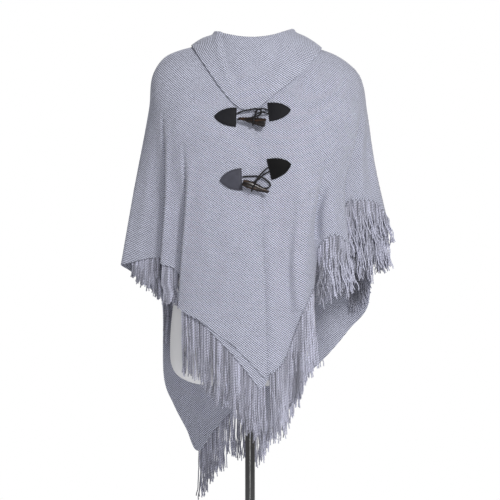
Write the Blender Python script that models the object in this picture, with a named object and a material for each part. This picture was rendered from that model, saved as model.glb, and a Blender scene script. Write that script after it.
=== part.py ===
"""A knitted poncho sweater with two horn toggles, worn by a limbless dress form on its stand.

Metres, +Z up, the wearer faces -Y and +X is at the viewer's right. The origin is the middle of the
stand's underside, on the floor. Run with: blender --background --python part.py
"""

import math
from collections import namedtuple

import bmesh
import bpy
import numpy as np
from mathutils import Vector
from mathutils.bvhtree import BVHTree

MM = 0.001
KNIT_WALL = 2.4 * MM        # a thick moss-stitch knit
SEAM_GAP = 0.3 * MM         # between pieces that are sewn edge to edge
LAY_GAP = 0.5 * MM          # between a piece and the curved cloth that it lies on

# ------------------------------------------------------------------ colours
Finish = namedtuple("Finish", "colour roughness metallic")
FINISHES = {
    "knit": Finish((0.39, 0.40, 0.49), 0.90, 0.0),
    "fringe": Finish((0.34, 0.34, 0.42), 0.90, 0.0),
    "leather": Finish((0.018, 0.018, 0.022), 0.45, 0.0),
    "horn": Finish((0.030, 0.016, 0.011), 0.35, 0.0),
    "cord": Finish((0.010, 0.010, 0.011), 0.60, 0.0),
    "form_cloth": Finish((0.62, 0.61, 0.60), 0.85, 0.0),
    "stand_metal": Finish((0.020, 0.020, 0.021), 0.30, 0.6),
}

# ------------------------------------------------------------------ the drape of the cloth
# The cloth hangs from four rings: the neck seam, the crest of the shoulders, the top of the arms and
# the upper arms. Each ring is an oval about the neck, with its own height in front, at the sides and
# behind, in mm. vee is 1 where the front falls to a point and 2 where it is round.
Ring = namedtuple("Ring", "centre_x half_width front back front_z side_z back_z vee")
RINGS = (
    Ring(7, 73, 92, 66, 1262, 1397, 1390, 1.0),
    Ring(4, 178, 116, 98, 1205, 1368, 1332, 1.6),
    Ring(13, 220, 132, 118, 1150, 1326, 1236, 2.0),
    Ring(17, 232, 139, 127, 1050, 1255, 1110, 2.0),
)
VEE_SOFTNESS = 0.06         # rounds the point of a vee, as a share of the ring's half width
RING_DROPS = (0.0, 1.2, 1.75, 2.5)    # how far down the cloth each ring lies
HALF_DROP, HEM_DROP = 4.3, 6.2        # the same for the half-way level and the hem

# The lines down which the cloth hangs, in order round the body: from the left front's edge, round the
# left shoulder, the back and the right shoulder to the right front's edge. turn is in degrees about the
# neck, tuck is how far a line lies inside its rings, and the rest are places in mm, half way down and
# at the hem. At a pleat the crest comes first, then the root behind it, then the cloth that goes on.
Line = namedtuple("Line", "name turn tuck half_x half_y hem_x hem_y hem_z")
LINES = [Line(*row) for row in (
    # name                 turn  tuck  half_x half_y  hem_x hem_y hem_z
    ("left_front_edge",    -1.5,   0,     31,  -146,     35, -150,  683),
    ("left_front_1",         10,   0,    -23,  -144,    -22, -148,  743),
    ("left_front_2",         19,   0,    -60,  -137,    -61, -141,  774),
    ("left_front_3",         28,   0,    -98,  -126,   -103, -128,  804),
    ("pleat_b_crest",      37.7,   0,   -136,  -106,   -149, -101,  834),
    ("pleat_b_root",       41.5,   0,   -130,   -93,   -136,  -87,  872),
    ("pleat_b_after",      46.5,   0,   -145,   -84,   -156,  -77,  909),
    ("pleat_a_crest",      54.6,   0,   -176,   -73,   -188,  -65,  921),
    ("pleat_a_root",       58.5,   0,   -170,   -60,   -177,  -52,  927),
    ("pleat_a_after",        63,   0,   -183,   -51,   -191,  -42,  934),
    ("left_sleeve_1",        72,   0,   -210,   -36,   -224,  -27,  931),
    ("left_sleeve_2",        81,   0,   -234,   -18,   -256,  -12,  923),
    ("left_seam",            90,   0,   -247,     0,   -277,    2,  918),
    ("back_1",               99,   0,   -240,    24,   -262,   17,  907),
    ("back_2",              109,   0,   -223,    47,   -243,   36,  892),
    ("back_3",              119,   0,   -198,    67,   -217,   50,  865),
    ("back_4",              129,   0,   -171,    89,   -192,   66,  831),
    ("back_5",              138,   0,   -151,    98,   -190,   84,  672),
    ("back_6",              146,   0,   -129,   113,   -169,  106,  605),
    ("back_7",              153,   0,   -109,   112,   -142,  118,  550),
    ("back_8",              160,   0,    -87,   125,   -117,  136,  499),
    ("back_9",              167,   0,    -60,   124,    -75,  134,  552),
    ("back_10",             174,   0,    -28,   137,    -30,  150,  589),
    ("back_11",             181,   0,     10,   128,     14,  144,  562),
    ("back_12",             188,   0,     46,   139,     56,  152,  604),
    ("back_13",             195,   0,     82,   128,     95,  138,  634),
    ("back_14",             202,   0,    117,   129,    137,  144,  676),
    ("back_15",             211,   0,    153,   115,    182,  124,  724),
    ("back_16",             221,   0,    188,   108,    223,  120,  774),
    ("back_17",             232,   0,    218,    87,    260,   96,  823),
    ("back_18",             243,   0,    237,    66,    267,   70,  902),
    ("back_19",             254,   0,    251,    42,    279,   40,  946),
    ("back_20",             263,   0,    262,    20,    290,   20,  976),
    ("right_seam",          270,   0,    268,     0,    297,    2, 1004),
    ("right_sleeve_1",      276,   0,    251,   -17,    267,  -22, 1044),
    ("right_sleeve_2",      282,   0,    230,   -34,    235,  -40, 1048),
    ("pleat_d_after",       287,   0,    207,   -49,    206,  -54, 1047),
    ("pleat_d_root",        291,   0,    192,   -61,    194,  -67, 1005),
    ("pleat_d_crest",       296,   0,    197,   -77,    206,  -83,  958),
    ("right_drape_1",       305,   0,    178,   -95,    179, -101,  974),
    ("right_drape_2",       313,   0,    159,  -101,    158, -105,  965),
    ("pleat_c_root",        320,   0,    139,   -98,    140,  -94,  933),
    ("pleat_c_crest",       326,   0,    129,  -118,    131, -112,  871),
    ("right_front_4",       332,   0,    113,  -133,    113, -130,  823),
    ("right_front_3",       340,   0,     81,  -128,     86, -127,  750),
    ("right_front_2",       348,   2,     54,  -139,     62, -140,  702),
    ("right_front_1",     355.5,   5,     36,  -140,     39, -144,  684),
    ("right_front_edge",  362.3,   6,     19,  -138,     25, -143,  686),
)]
LINES_PER_COLUMN = 2        # columns of the mesh from one line to the next
ROWS_BETWEEN_DROPS = (4, 3, 2, 3, 5)   # rows of the mesh from each level to the next

# ------------------------------------------------------------------ the collar
# It stands up from the neck seam to its rim, folds over there and falls outside to its free edge.
COLLAR_STATIONS = 46
COLLAR_HALVES = (0, 3, 5)  # spans of a collar section that have a row of the mesh at their middle
COLLAR_CROWDING = 20        # degrees by which the stations move towards the point of the neck's vee
COLLAR_SEAM_GAP = 0.8 * MM
VEE_SEAM_GAP = 2.8 * MM     # the seam is this much looser at the point of the vee
VEE_SEAM_REACH = 24         # the power of the cosine with which that falls off
RIM = Ring(9, 84, 68, 66, 1398, 1422, 1414, 2.0)
RIM_TILT = 2.5 * MM         # the rim is this much higher at the right than in the middle
RIM_HALF_FOLD = 6 * MM      # half the thickness of the rolled rim
RIM_FOLD_DROP = 7.2 * MM    # from the rim down to the two sides of its fold
# How far the fall reaches from the neck seam to the shoulder ring: front, left, back and right.
# How far down from the neck to the shoulder ring the collar's free edge lies: turn and share.
FALLS = ((-180, 0.80), (-100, 0.71), (-70, 0.73), (-45, 0.70), (-30, 0.62), (-15, 0.54), (0, 0.60),
         (12, 0.66), (30, 0.605), (50, 0.55), (90, 0.53), (120, 0.58), (180, 0.80))
FALL_OFFSET = 4.2 * MM      # from the middle of the cloth below to the middle of the fall's wall
FALL_BULGE = 2.5 * MM       # how far the fall swells between the rim and its edge

# ------------------------------------------------------------------ the fringe
# Each fringe is a narrow strip, sewn along an edge, with strands fused to it. row is what it is sewn
# to: the hem, the hem band, the line across the back or the inside of the back. first and last are
# turns, side is 1 outside the cloth and -1 inside it, gap is from the cloth's face to the strip, and
# the lengths of the strands are evenly spaced from the first end to the last, both in mm.
STRIP_HEIGHT = 9 * MM
STRIP_WALL = 2.0 * MM
STRAND_SHARE = 0.62         # width of a strand as a share of its pitch
STRAND_TAPER = 0.75         # width of a strand's end as a share of its root's
STRAND_LEVELS = (0.45, 1.0) # how far down a strand its cross sections lie
STRAND_CLEAR = 3.2 * MM     # from the middle of the cloth to the near side of a strand over it
STRAND_LIFT = 2.4 * MM      # how far a strand of the back stands further off the cloth than its strip
UP_STEP = 0.15              # the drop over which the way up the cloth is read at a strip
EDGE_SAMPLES = 300          # along an edge, to pitch its strands evenly
# Strands differ from one to the next in waves: the size, the radians from strand to strand, the start.
LENGTH_WAVES = ((0.07, 2.4, 0.0), (0.04, 5.1, 1.0))    # as shares of the length
SWAY_WAVES = ((2.5 * MM, 0.5, 2.4), (2.5 * MM, 0.37, math.pi / 2))    # to the side and to the back
Fringe = namedtuple("Fringe", "name row first last side strands gap lengths")
FRINGES = [Fringe(*row) for row in (
    # name                  row         first   last side strands  gap  lengths
    ("fringe_front_left",   "band",      -0.6,  36.0,  -1,     28,  0.5, (118, 124, 136, 128)),
    ("fringe_left_pleat",   "hem",       47.5,  53.0,  -1,      4,  0.7, (80, 82)),
    ("fringe_left_sleeve",  "hem",       64.5,  80.0,  -1,      9,  0.7, (88, 62, 30)),
    ("fringe_back",         "back",     160.8, 260.0,   1,     51,  1.2, (112, 112, 112, 112, 108, 60, 24)),
    ("fringe_back_inner",   "inside",   224.0, 238.0,  -1,      6,  0.7, (86, 100)),
    ("fringe_right_sleeve", "hem",      271.0, 286.5,   1,     12,  0.7, (40, 76, 104, 108)),
    ("fringe_right_drape",  "hem",      297.5, 316.5,   1,      8,  0.7, (118, 112)),
    ("fringe_front_right",  "hem",      328.0, 355.0,   1,     25,  0.7, (150, 140, 132)),
)]
INNER_FRINGE_DROP = 5.1     # where the row inside the back's right is sewn on
# The back's fringe leaves the hem for a line across the back: the drops at which it is sewn on.
BACK_FRINGE_LINE = (
    # line      drop
    ("back_8",  6.20),
    ("back_11", 6.20),
    ("back_12", 5.95),
    ("back_13", 5.50),
    ("back_14", 5.30),
    ("back_16", 5.20),
    ("back_17", 5.20),
    ("back_18", 5.55),
    ("back_19", 5.90),
    ("back_20", 6.20),
)

# ------------------------------------------------------------------ the hem band
# A band inside the left front's hem that shows below it towards the middle, and carries the fringe.
BAND_LAST_TURN = 27         # where the band ends at the side
BAND_DEEPEST_TURN = 1.2     # where it shows the most
BAND_SHOWS = 34 * MM
BAND_SHOWS_LEAST = 3 * MM
BAND_TOP_DROP = 5.65
BAND_OFFSET = KNIT_WALL + LAY_GAP

# ------------------------------------------------------------------ the dress form and its stand
# Level rings of the torso from the bottom up, in mm: height, half width, half depth, and how far the
# ring's middle lies behind the neck.
Section = namedtuple("Section", "z half_width half_depth back")
TORSO_X = 6 * MM            # middle of the neck
TORSO_LEAN = 0.034          # the form leans on its stand: its hips lie this share of the drop to the left
TORSO = [Section(*row) for row in (
    # z    half_width half_depth back
    (662,       80,       56,    0),
    (667,      108,       76,    0),
    (682,      137,       96,    0),
    (704,      151,      106,    2),
    (735,      155,      110,    4),
    (790,      155,      110,    5),
    (850,      149,      106,    4),
    (915,      134,       95,    1),
    (985,      117,       85,   -2),
    (1050,     123,       90,   -4),
    (1110,     137,      102,   -9),
    (1165,     147,      107,  -12),
    (1215,     158,       96,   -6),
    (1262,     174,       86,    1),
    (1306,     188,       76,    5),
    (1338,     193,       66,    6),
    (1358,     184,       60,    6),
    (1373,     158,       52,    5),
    (1384,     120,       46,    6),
    (1390,      88,       42,    7),
    (1393,      62,       40,    7),
    (1399,      52,       38,    7),
)]
TORSO_SIDES = 26
TORSO_SQUARENESS = 2.35     # of the superellipse that each ring is
REST_GAP = 0.6 * MM         # from the form's cover to the cloth that rests on it
REST_FROM = 1140 * MM       # the lowest place where the form may carry the cloth
POLE_RADIUS = 10.5 * MM
POLE_SIDES = 16
BASE_RADIUS = 165 * MM
BASE_HEIGHT = 12 * MM
BASE_SIDE = 7.2 * MM        # height of the plate's upright side, below its slope
BASE_SLOPE = 4 * MM
BASE_CROWN = 2 * MM         # how much higher the plate is at the hub
HUB_RADIUS = 24 * MM
HUB_HEIGHT = 34 * MM
HUB_TAPER = 3 * MM
BASE_SIDES = 32

# ------------------------------------------------------------------ the toggles
Tab = namedtuple("Tab", "name side edge_x edge_z length height tilt")
TABS = [Tab(*row) for row in (
    # name               side edge_x edge_z length height tilt
    ("tab_upper_left",    -1,   -28,  1224,    46,    41,   2),
    ("tab_upper_right",    1,    38,  1235,    47,    40,   6),
    ("tab_lower_left",    -1,   -16,  1095,    46,    46,  -3),
    ("tab_lower_right",    1,    39,  1115,    47,    44,  14),
)]
TAB_WALL = 2.0 * MM
TAB_GRID = (8, 5)           # points along a tab and across it
TAB_TIP_HALF = 1.2 * MM
TAB_CROWDING = 1.4          # how the mesh's columns crowd towards the tip
TAB_BELLY, TAB_POINT = 2.2, 0.72      # the powers that shape the tab's curved sides
CORD_RADIUS = 1.5 * MM
CORD_SIDES = 6
CORD_STEP = 3.8 * MM        # from one cross section of a cord to the next
OVERLAP_REACH = 6 * MM      # cords that pass the overlap of the fronts stay level with the upper one

# A horn's axis runs from its first to its last place (x and z in mm), at one height above the cloth.
# Its radii are in mm, evenly spaced along the axis.
Horn = namedtuple("Horn", "name first_x first_z last_x last_z height radii")
HORNS = (
    Horn("horn_upper", -23, 1217, 33, 1207, 16.5, (1.4, 3.4, 5.2, 6.6, 7.9, 8.9, 9.2)),
    Horn("horn_lower", -14, 1087.5, 39, 1067.5, 16, (5.8, 7.6, 8.0, 7.3, 6.0, 4.3, 2.4)),
)
HORN_FLATNESS = 0.58        # depth of a horn as a share of its width
HORN_SIDES = 10

# The cords, as places on the cloth (x and z) and heights above the middle of its wall, in mm. A loop
# leaves the left tab, passes behind the horn and comes back. A tie leaves the right tab, goes round its
# horn at a share of the horn's length, and comes back.
LOOPS = {
    "loop_upper": ((-26.8, 1231, 4.4), (-20, 1232.6, 8.4), (-12, 1234.5, 10.2), (3, 1237.5, 10.6),
                   (16, 1239, 10.6), (25, 1236, 10), (24, 1229, 9), (13, 1223.5, 7.4), (-3, 1221, 5.2),
                   (-15, 1219.5, 3.8), (-26.8, 1219, 3.6)),
    "loop_lower": ((-14.8, 1100, 3.6), (2, 1101, 3.8), (20, 1100.5, 4), (35, 1092, 4.4),
                   (42, 1083, 4.4), (36, 1077, 4), (20, 1077.5, 3.6), (2, 1081, 3.6),
                   (-14.8, 1086, 3.6)),
}
Tie = namedtuple("Tie", "name horn share out back")
TIES = (
    Tie("tie_upper", 0, 0.56, ((37.2, 1239, 3.6), (28, 1238.5, 13), (19, 1232.5, 20)),
        ((20, 1229.5, 13), (29, 1231.5, 11.5), (38.0, 1231, 3.6))),
    Tie("tie_lower", 1, 0.40, ((37.0, 1119, 3.6), (28, 1110.5, 13), (18, 1100, 20)),
        ((20, 1096, 11), (29.5, 1105, 8.6), (39.2, 1110.5, 3.6))),
)
TIE_CLEAR = 1.2 * MM        # between a tie and the horn that it goes round
TIE_FIRST_ANGLE, TIE_LAST_ANGLE = 60, 325    # degrees about the horn's axis, from its upper side
TIE_POINTS = 8
TIE_SPREAD = 3.4 * MM       # how far the tie moves along the horn as it goes round


def clear_scene():
    for old in list(bpy.data.objects):
        bpy.data.objects.remove(old)


def finish_material(name):
    """The one material of that finish, made the first time that it is asked for."""
    known = bpy.data.materials.get(name)
    if known:
        return known
    finish = FINISHES[name]
    material = bpy.data.materials.new(name)
    material.use_nodes = True
    shader = material.node_tree.nodes["Principled BSDF"]
    shader.inputs["Base Color"].default_value = (*finish.colour, 1.0)
    shader.inputs["Roughness"].default_value = finish.roughness
    shader.inputs["Metallic"].default_value = finish.metallic
    return material


def add_solid(name, points, faces, finish):
    """A named object from a closed set of faces, turned to face outwards."""
    mesh = bpy.data.meshes.new(name)
    mesh.from_pydata([tuple(map(float, point)) for point in points], [], faces)
    shape = bmesh.new()
    shape.from_mesh(mesh)
    bmesh.ops.recalc_face_normals(shape, faces=shape.faces)
    shape.to_mesh(mesh)
    shape.free()
    mesh.shade_smooth()
    mesh.set_sharp_from_angle(angle=math.radians(50))
    solid = bpy.data.objects.new(name, mesh)
    mesh.materials.append(finish_material(finish))
    bpy.context.collection.objects.link(solid)
    return solid


# ------------------------------------------------------------------ curves and surfaces
def unit(vectors):
    return vectors / np.linalg.norm(vectors, axis=-1, keepdims=True)


def through(knots, values, places):
    """A smooth curve that passes values[i] at knots[i], read at the places."""
    knots = np.asarray(knots, float)
    values = np.asarray(values, float)
    places = np.asarray(places, float)
    spread = (slice(None),) + (None,) * (values.ndim - 1)
    step = np.diff(knots)[spread]
    rate = np.diff(values, axis=0) / step
    chord = (values[2:] - values[:-2]) / (knots[2:] - knots[:-2])[spread]
    slope = np.concatenate((rate[:1], chord, rate[-1:]))
    span = np.clip(np.searchsorted(knots, places, side="right") - 1, 0, len(knots) - 2)
    width = step[span]
    share = ((places - knots[span]))[spread] / width
    start, end = values[span], values[span + 1]
    rise = share * share * (3 - 2 * share)
    lead = share * (1 - share) ** 2 * width
    tail = share * share * (share - 1) * width
    return start + (end - start) * rise + slope[span] * lead + slope[span + 1] * tail


def ring_point(ring, turn):
    """The point of an oval about the neck, at a turn in degrees from the front towards the viewer's left."""
    across = math.sin(math.radians(turn))
    along = math.cos(math.radians(turn))
    in_front = along > 0
    end_depth = -ring.front if in_front else ring.back
    end_z = ring.front_z if in_front else ring.back_z
    reach = math.hypot(across, VEE_SOFTNESS) / math.hypot(1, VEE_SOFTNESS)
    share = 1 - reach ** (ring.vee if in_front else 2)
    return MM * np.array((
        ring.centre_x - ring.half_width * across,
        end_depth * abs(along),
        ring.side_z + (end_z - ring.side_z) * share,
    ))


DROPS = RING_DROPS + (HALF_DROP, HEM_DROP)


def line_points(line):
    """The six points that a line of the drape passes: four rings, half way and the hem."""
    rings = [ring_point(ring, line.turn) + (0, line.tuck * MM, 0) for ring in RINGS]
    half_z = (rings[-1][2] / MM + line.hem_z) / 2
    half = MM * np.array((line.half_x, line.half_y, half_z))
    hem = MM * np.array((line.hem_x, line.hem_y, line.hem_z))
    return rings + [half, hem]


TURNS = np.array([line.turn for line in LINES])
LINE_POINTS = np.array([line_points(line) for line in LINES])


def drape(turns, drops):
    """Points of the cloth's middle surface, for every turn and every drop."""
    down = through(DROPS, LINE_POINTS.transpose(1, 0, 2), drops)
    return through(TURNS, down.transpose(1, 0, 2), turns)


def drape_normals(turns, drops):
    """The outward normals at the same points, and the direction in which the turn grows."""
    turns, drops = np.asarray(turns, float), np.asarray(drops, float)
    small = 0.02
    after = np.minimum(turns + small, TURNS[-1])
    before = np.maximum(turns - small, TURNS[0])
    lower = np.minimum(drops + small, HEM_DROP)
    upper = np.maximum(drops - small, 0)
    around = unit(drape(after, drops) - drape(before, drops))
    down = unit(drape(turns, lower) - drape(turns, upper))
    return unit(np.cross(around, down)), around


def turn_of(name):
    return next(line.turn for line in LINES if line.name == name)


def columns(first, last):
    """Turns of the mesh's columns between two lines, with the same number from each line to the next."""
    chosen = TURNS[(TURNS >= first) & (TURNS <= last)]
    share = np.arange(LINES_PER_COLUMN) / LINES_PER_COLUMN
    between = chosen[:-1, None] + np.diff(chosen)[:, None] * share
    return np.append(between.ravel(), chosen[-1])


def rows():
    """Drops of the mesh's rows, from the neck seam to the hem."""
    spans = zip(DROPS[:-1], DROPS[1:], ROWS_BETWEEN_DROPS)
    between = [np.linspace(top, bottom, count, endpoint=False) for top, bottom, count in spans]
    return np.append(np.concatenate(between), HEM_DROP)


def grid_faces(across, down, start=0, closed=False):
    """Triangles of a grid of points that is stored column by column."""
    faces = []
    for a in range(across if closed else across - 1):
        here, there = start + a * down, start + (a + 1) % across * down
        for b in range(down - 1):
            faces += [(here + b, there + b, there + b + 1), (here + b, there + b + 1, here + b + 1)]
    return faces


def add_wall(name, middle, normals, thickness, finish, closed=False):
    """A closed wall of even thickness about a grid of points."""
    across, down = middle.shape[:2]
    outer = (middle + normals * thickness / 2).reshape(-1, 3)
    inner = (middle - normals * thickness / 2).reshape(-1, 3)
    count = across * down
    faces = grid_faces(across, down, 0, closed)
    faces += [face[::-1] for face in grid_faces(across, down, count, closed)]
    rim = []
    if closed:
        for b in (0, down - 1):
            rim.append([a * down + b for a in range(across)] + [b])
    else:
        rim.append([b for b in range(down)]
                   + [a * down + down - 1 for a in range(1, across)]
                   + [(across - 1) * down + b for b in range(down - 2, -1, -1)]
                   + [a * down for a in range(across - 2, -1, -1)])
    for edge in rim:
        faces += [(i, j, j + count, i + count) for i, j in zip(edge, edge[1:])]
    return add_solid(name, np.concatenate((outer, inner)), faces, finish)


# ------------------------------------------------------------------ the cloth panels
def add_panel(name, first, last, seam_first=False, seam_last=False):
    """One panel of the poncho between two lines, parted from its neighbour by the gap of a seam."""
    turns, drops = columns(turn_of(first), turn_of(last)), rows()
    middle = drape(turns, drops)
    normals, around = drape_normals(turns, drops)
    if seam_first:
        middle[0] += around[0] * SEAM_GAP / 2
    if seam_last:
        middle[-1] -= around[-1] * SEAM_GAP / 2
    return add_wall(name, middle, normals, KNIT_WALL, "knit")


def add_poncho():
    add_panel("front_left", "left_front_edge", "left_seam", seam_last=True)
    add_panel("back", "left_seam", "right_seam", seam_first=True, seam_last=True)
    add_panel("front_right", "right_seam", "right_front_edge", seam_first=True)


# ------------------------------------------------------------------ the collar
def upper_drape(turn, share):
    """A point of the cloth near the neck: share is 0 at the neck seam and 1 at the shoulder ring."""
    points = [ring_point(ring, turn) for ring in RINGS]
    return through(RING_DROPS, points, [share * RING_DROPS[1]])[0]


def upper_normal(turn, share):
    small = 0.01
    down = upper_drape(turn, share + small) - upper_drape(turn, share)
    around = upper_drape(turn + 1, share) - upper_drape(turn - 1, share)
    return unit(np.cross(around, down))


def fall_share(turn):
    """How far down the shoulder the collar's free edge lies at this turn."""
    turns, shares = zip(*FALLS)
    return float(through(turns, shares, [(turn + 180) % 360 - 180])[0])


def seam_step(turn, towards):
    """The step from the panels' neck edge to the collar's lower edge, which leaves it at an angle."""
    along = unit(upper_drape(turn + 1, 0) - upper_drape(turn - 1, 0))
    down = unit(upper_drape(turn, 0.05) - upper_drape(turn, 0))
    up = unit(towards - upper_drape(turn, 0))
    level_down = unit(down - along * np.dot(down, along))
    level_up = up - along * np.dot(up, along)
    in_line = -float(np.dot(level_down, unit(level_up)))
    turned = math.sqrt(1 - in_line ** 2)
    half = KNIT_WALL / 2
    gap = COLLAR_SEAM_GAP + VEE_SEAM_GAP * max(math.cos(math.radians(turn)), 0) ** VEE_SEAM_REACH
    over_the_face = (gap + half * (1 - in_line)) / max(turned, 0.01)
    past_the_end = (gap + half * turned) / max(in_line, 0.01)
    return up * min(past_the_end, over_the_face) / np.linalg.norm(level_up)


def collar_section(turn):
    """Points of the collar's wall from the neck seam, up over the rim and down to the free edge."""
    across, along = math.sin(math.radians(turn)), math.cos(math.radians(turn))
    out = np.array((-across, -along, 0))
    seam = upper_drape(turn, 0)
    rim = ring_point(RIM, turn) - (0, 0, RIM_TILT * across + KNIT_WALL / 2)
    drop = (0, 0, RIM_FOLD_DROP)
    inner = rim - out * RIM_HALF_FOLD - drop
    root = seam + seam_step(turn, inner)
    outer = rim + out * RIM_HALF_FOLD - drop
    share = fall_share(turn)
    normal = upper_normal(turn, share)
    edge = upper_drape(turn, share) + normal * FALL_OFFSET
    swell = normal * FALL_BULGE
    near_rim = outer + (edge - outer) / 3 + swell
    near_edge = outer + (edge - outer) * 2 / 3 + swell
    points = np.array((root, inner, rim, outer, near_rim, near_edge, edge))
    lengths = np.linalg.norm(np.diff(points, axis=0), axis=1)
    knots = np.append(0, np.cumsum(np.sqrt(lengths)))
    return knots / knots[-1], points


def add_collar():
    turns = np.arange(COLLAR_STATIONS) * 360 / COLLAR_STATIONS
    turns = turns - COLLAR_CROWDING * np.sin(np.radians(turns))
    middle = []
    for turn in turns:
        knots, points = collar_section(turn)
        halves = (knots[1:] + knots[:-1]) / 2
        places = np.sort(np.append(knots, halves[list(COLLAR_HALVES)]))
        middle.append(through(knots, points, places))
    middle = np.array(middle)
    around = np.roll(middle, -1, axis=0) - np.roll(middle, 1, axis=0)
    down = np.gradient(middle, axis=1)
    normals = unit(np.cross(around, down))
    return add_wall("collar", middle, normals, KNIT_WALL, "knit", closed=True)


# ------------------------------------------------------------------ the cloth as something to lie on
def cloth_tree():
    """The cloth's middle surface as a search tree, in the same facets as the panels."""
    turns, drops = columns(TURNS[0], TURNS[-1]), rows()
    points = drape(turns, drops).reshape(-1, 3)
    return BVHTree.FromPolygons(points.tolist(), grid_faces(len(turns), len(drops)))


def on_front(tree, x, z):
    """The cloth's point and outward normal that a viewer in front sees at x and z."""
    point, normal, _, _ = tree.ray_cast(Vector((x, -1, z)), Vector((0, 1, 0)))
    return np.array(point), np.array(normal if normal.y < 0 else -normal)


def over_front(tree, x, z):
    """The same, but level with the outermost cloth within a short reach to either side."""
    samples = [on_front(tree, x + step, z) for step in (-OVERLAP_REACH, 0, OVERLAP_REACH)]
    foremost = min(point[1] for point, _ in samples)
    return np.array((x, foremost, z)), samples[1][1]


def held_off(tree, point, clear, side):
    """The point, moved out (side 1) or in (side -1) until it is that clear of the cloth beside it."""
    near, normal, _, distance = tree.find_nearest(Vector(point))
    normal = np.array(normal) * side
    gap = float(np.dot(point - np.array(near), normal))
    past_the_edge = distance > abs(gap) + 1 * MM
    return point if gap >= clear or past_the_edge else point + normal * (clear - gap)


# ------------------------------------------------------------------ the hem band and the fringe
def band_shows(turn):
    """How far the hem band shows below the left front's hem."""
    if turn > BAND_LAST_TURN:
        return 0.0
    if turn > BAND_DEEPEST_TURN:
        share = (BAND_LAST_TURN - turn) / (BAND_LAST_TURN - BAND_DEEPEST_TURN)
    else:
        share = (turn - TURNS[0]) / (BAND_DEEPEST_TURN - TURNS[0])
    return BAND_SHOWS_LEAST + (BAND_SHOWS - BAND_SHOWS_LEAST) * share


def add_hem_band():
    turns = np.concatenate((np.linspace(TURNS[0] + 0.3, BAND_DEEPEST_TURN, 3),
                            np.linspace(BAND_DEEPEST_TURN, BAND_LAST_TURN, 11)[1:]))
    drops = np.linspace(BAND_TOP_DROP, HEM_DROP, 4)
    normals, _ = drape_normals(turns, drops)
    middle = drape(turns, drops) - normals * BAND_OFFSET
    below = middle[:, -1:].copy()
    below[:, 0, 2] -= [band_shows(turn) for turn in turns]
    middle = np.concatenate((middle, below), axis=1)
    normals = np.concatenate((normals, normals[:, -1:]), axis=1)
    return add_wall("hem_band", middle, normals, KNIT_WALL, "knit")


def fringe_drop(fringe, turns):
    """The drop at which a fringe is sewn on, for each turn."""
    if fringe.row == "inside":
        return np.full(len(turns), INNER_FRINGE_DROP)
    if fringe.row != "back":
        return np.full(len(turns), HEM_DROP)
    known = [turn_of(name) for name, _ in BACK_FRINGE_LINE]
    return np.interp(turns, known, [drop for _, drop in BACK_FRINGE_LINE])


def sewn_edge(fringe, turns):
    """The middle of a fringe's strip along its lower edge, the way up the cloth and the way out of it."""
    drops = fringe_drop(fringe, turns)
    roots, ups, outs = [], [], []
    for turn, drop in zip(turns, drops):
        point = drape([turn], [drop])[0, 0]
        higher = drape([turn], [drop - UP_STEP])[0, 0]
        normal = drape_normals([turn], [drop])[0][0, 0]
        offset = (KNIT_WALL + STRIP_WALL) / 2 + fringe.gap * MM
        if fringe.row == "band":
            point = point - (0, 0, band_shows(turn))
            offset += BAND_OFFSET
        roots.append(point + normal * offset * fringe.side)
        ups.append(unit(higher - drape([turn], [drop])[0, 0]))
        outs.append(normal)
    return np.array(roots), np.array(ups), np.array(outs)


def hung(turn, drop, length):
    """The way from a point of the cloth down its line, or plumb below the hem, by that length."""
    line = drape([turn], np.linspace(drop, HEM_DROP, 12))[0]
    fallen = line[0, 2] - line[:, 2]
    beyond = max(length - fallen[-1], 0)
    place = np.array([np.interp(length, fallen, line[:, axis]) for axis in range(3)])
    return place - line[0] - (0, 0, beyond)


def strand_stations(fringe):
    """Turns of the two sides of every strand, evenly pitched along the edge."""
    turns = np.linspace(fringe.first, fringe.last, EDGE_SAMPLES)
    roots, _, _ = sewn_edge(fringe, turns)
    run = np.append(0, np.cumsum(np.linalg.norm(np.diff(roots, axis=0), axis=1)))
    pitch = run[-1] / (fringe.strands - 1 + STRAND_SHARE)
    starts = np.arange(fringe.strands) * pitch
    places = np.stack((starts, starts + pitch * STRAND_SHARE), axis=1).ravel()
    return np.interp(places, run, turns)


def wave(strand, size, pace, start):
    return size * math.sin(strand * pace + start)


def strand_length(fringe, strand):
    share = strand / (fringe.strands - 1)
    usual = MM * np.interp(share, np.linspace(0, 1, len(fringe.lengths)), fringe.lengths)
    return usual * (1 + sum(wave(strand, *values) for values in LENGTH_WAVES))


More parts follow.
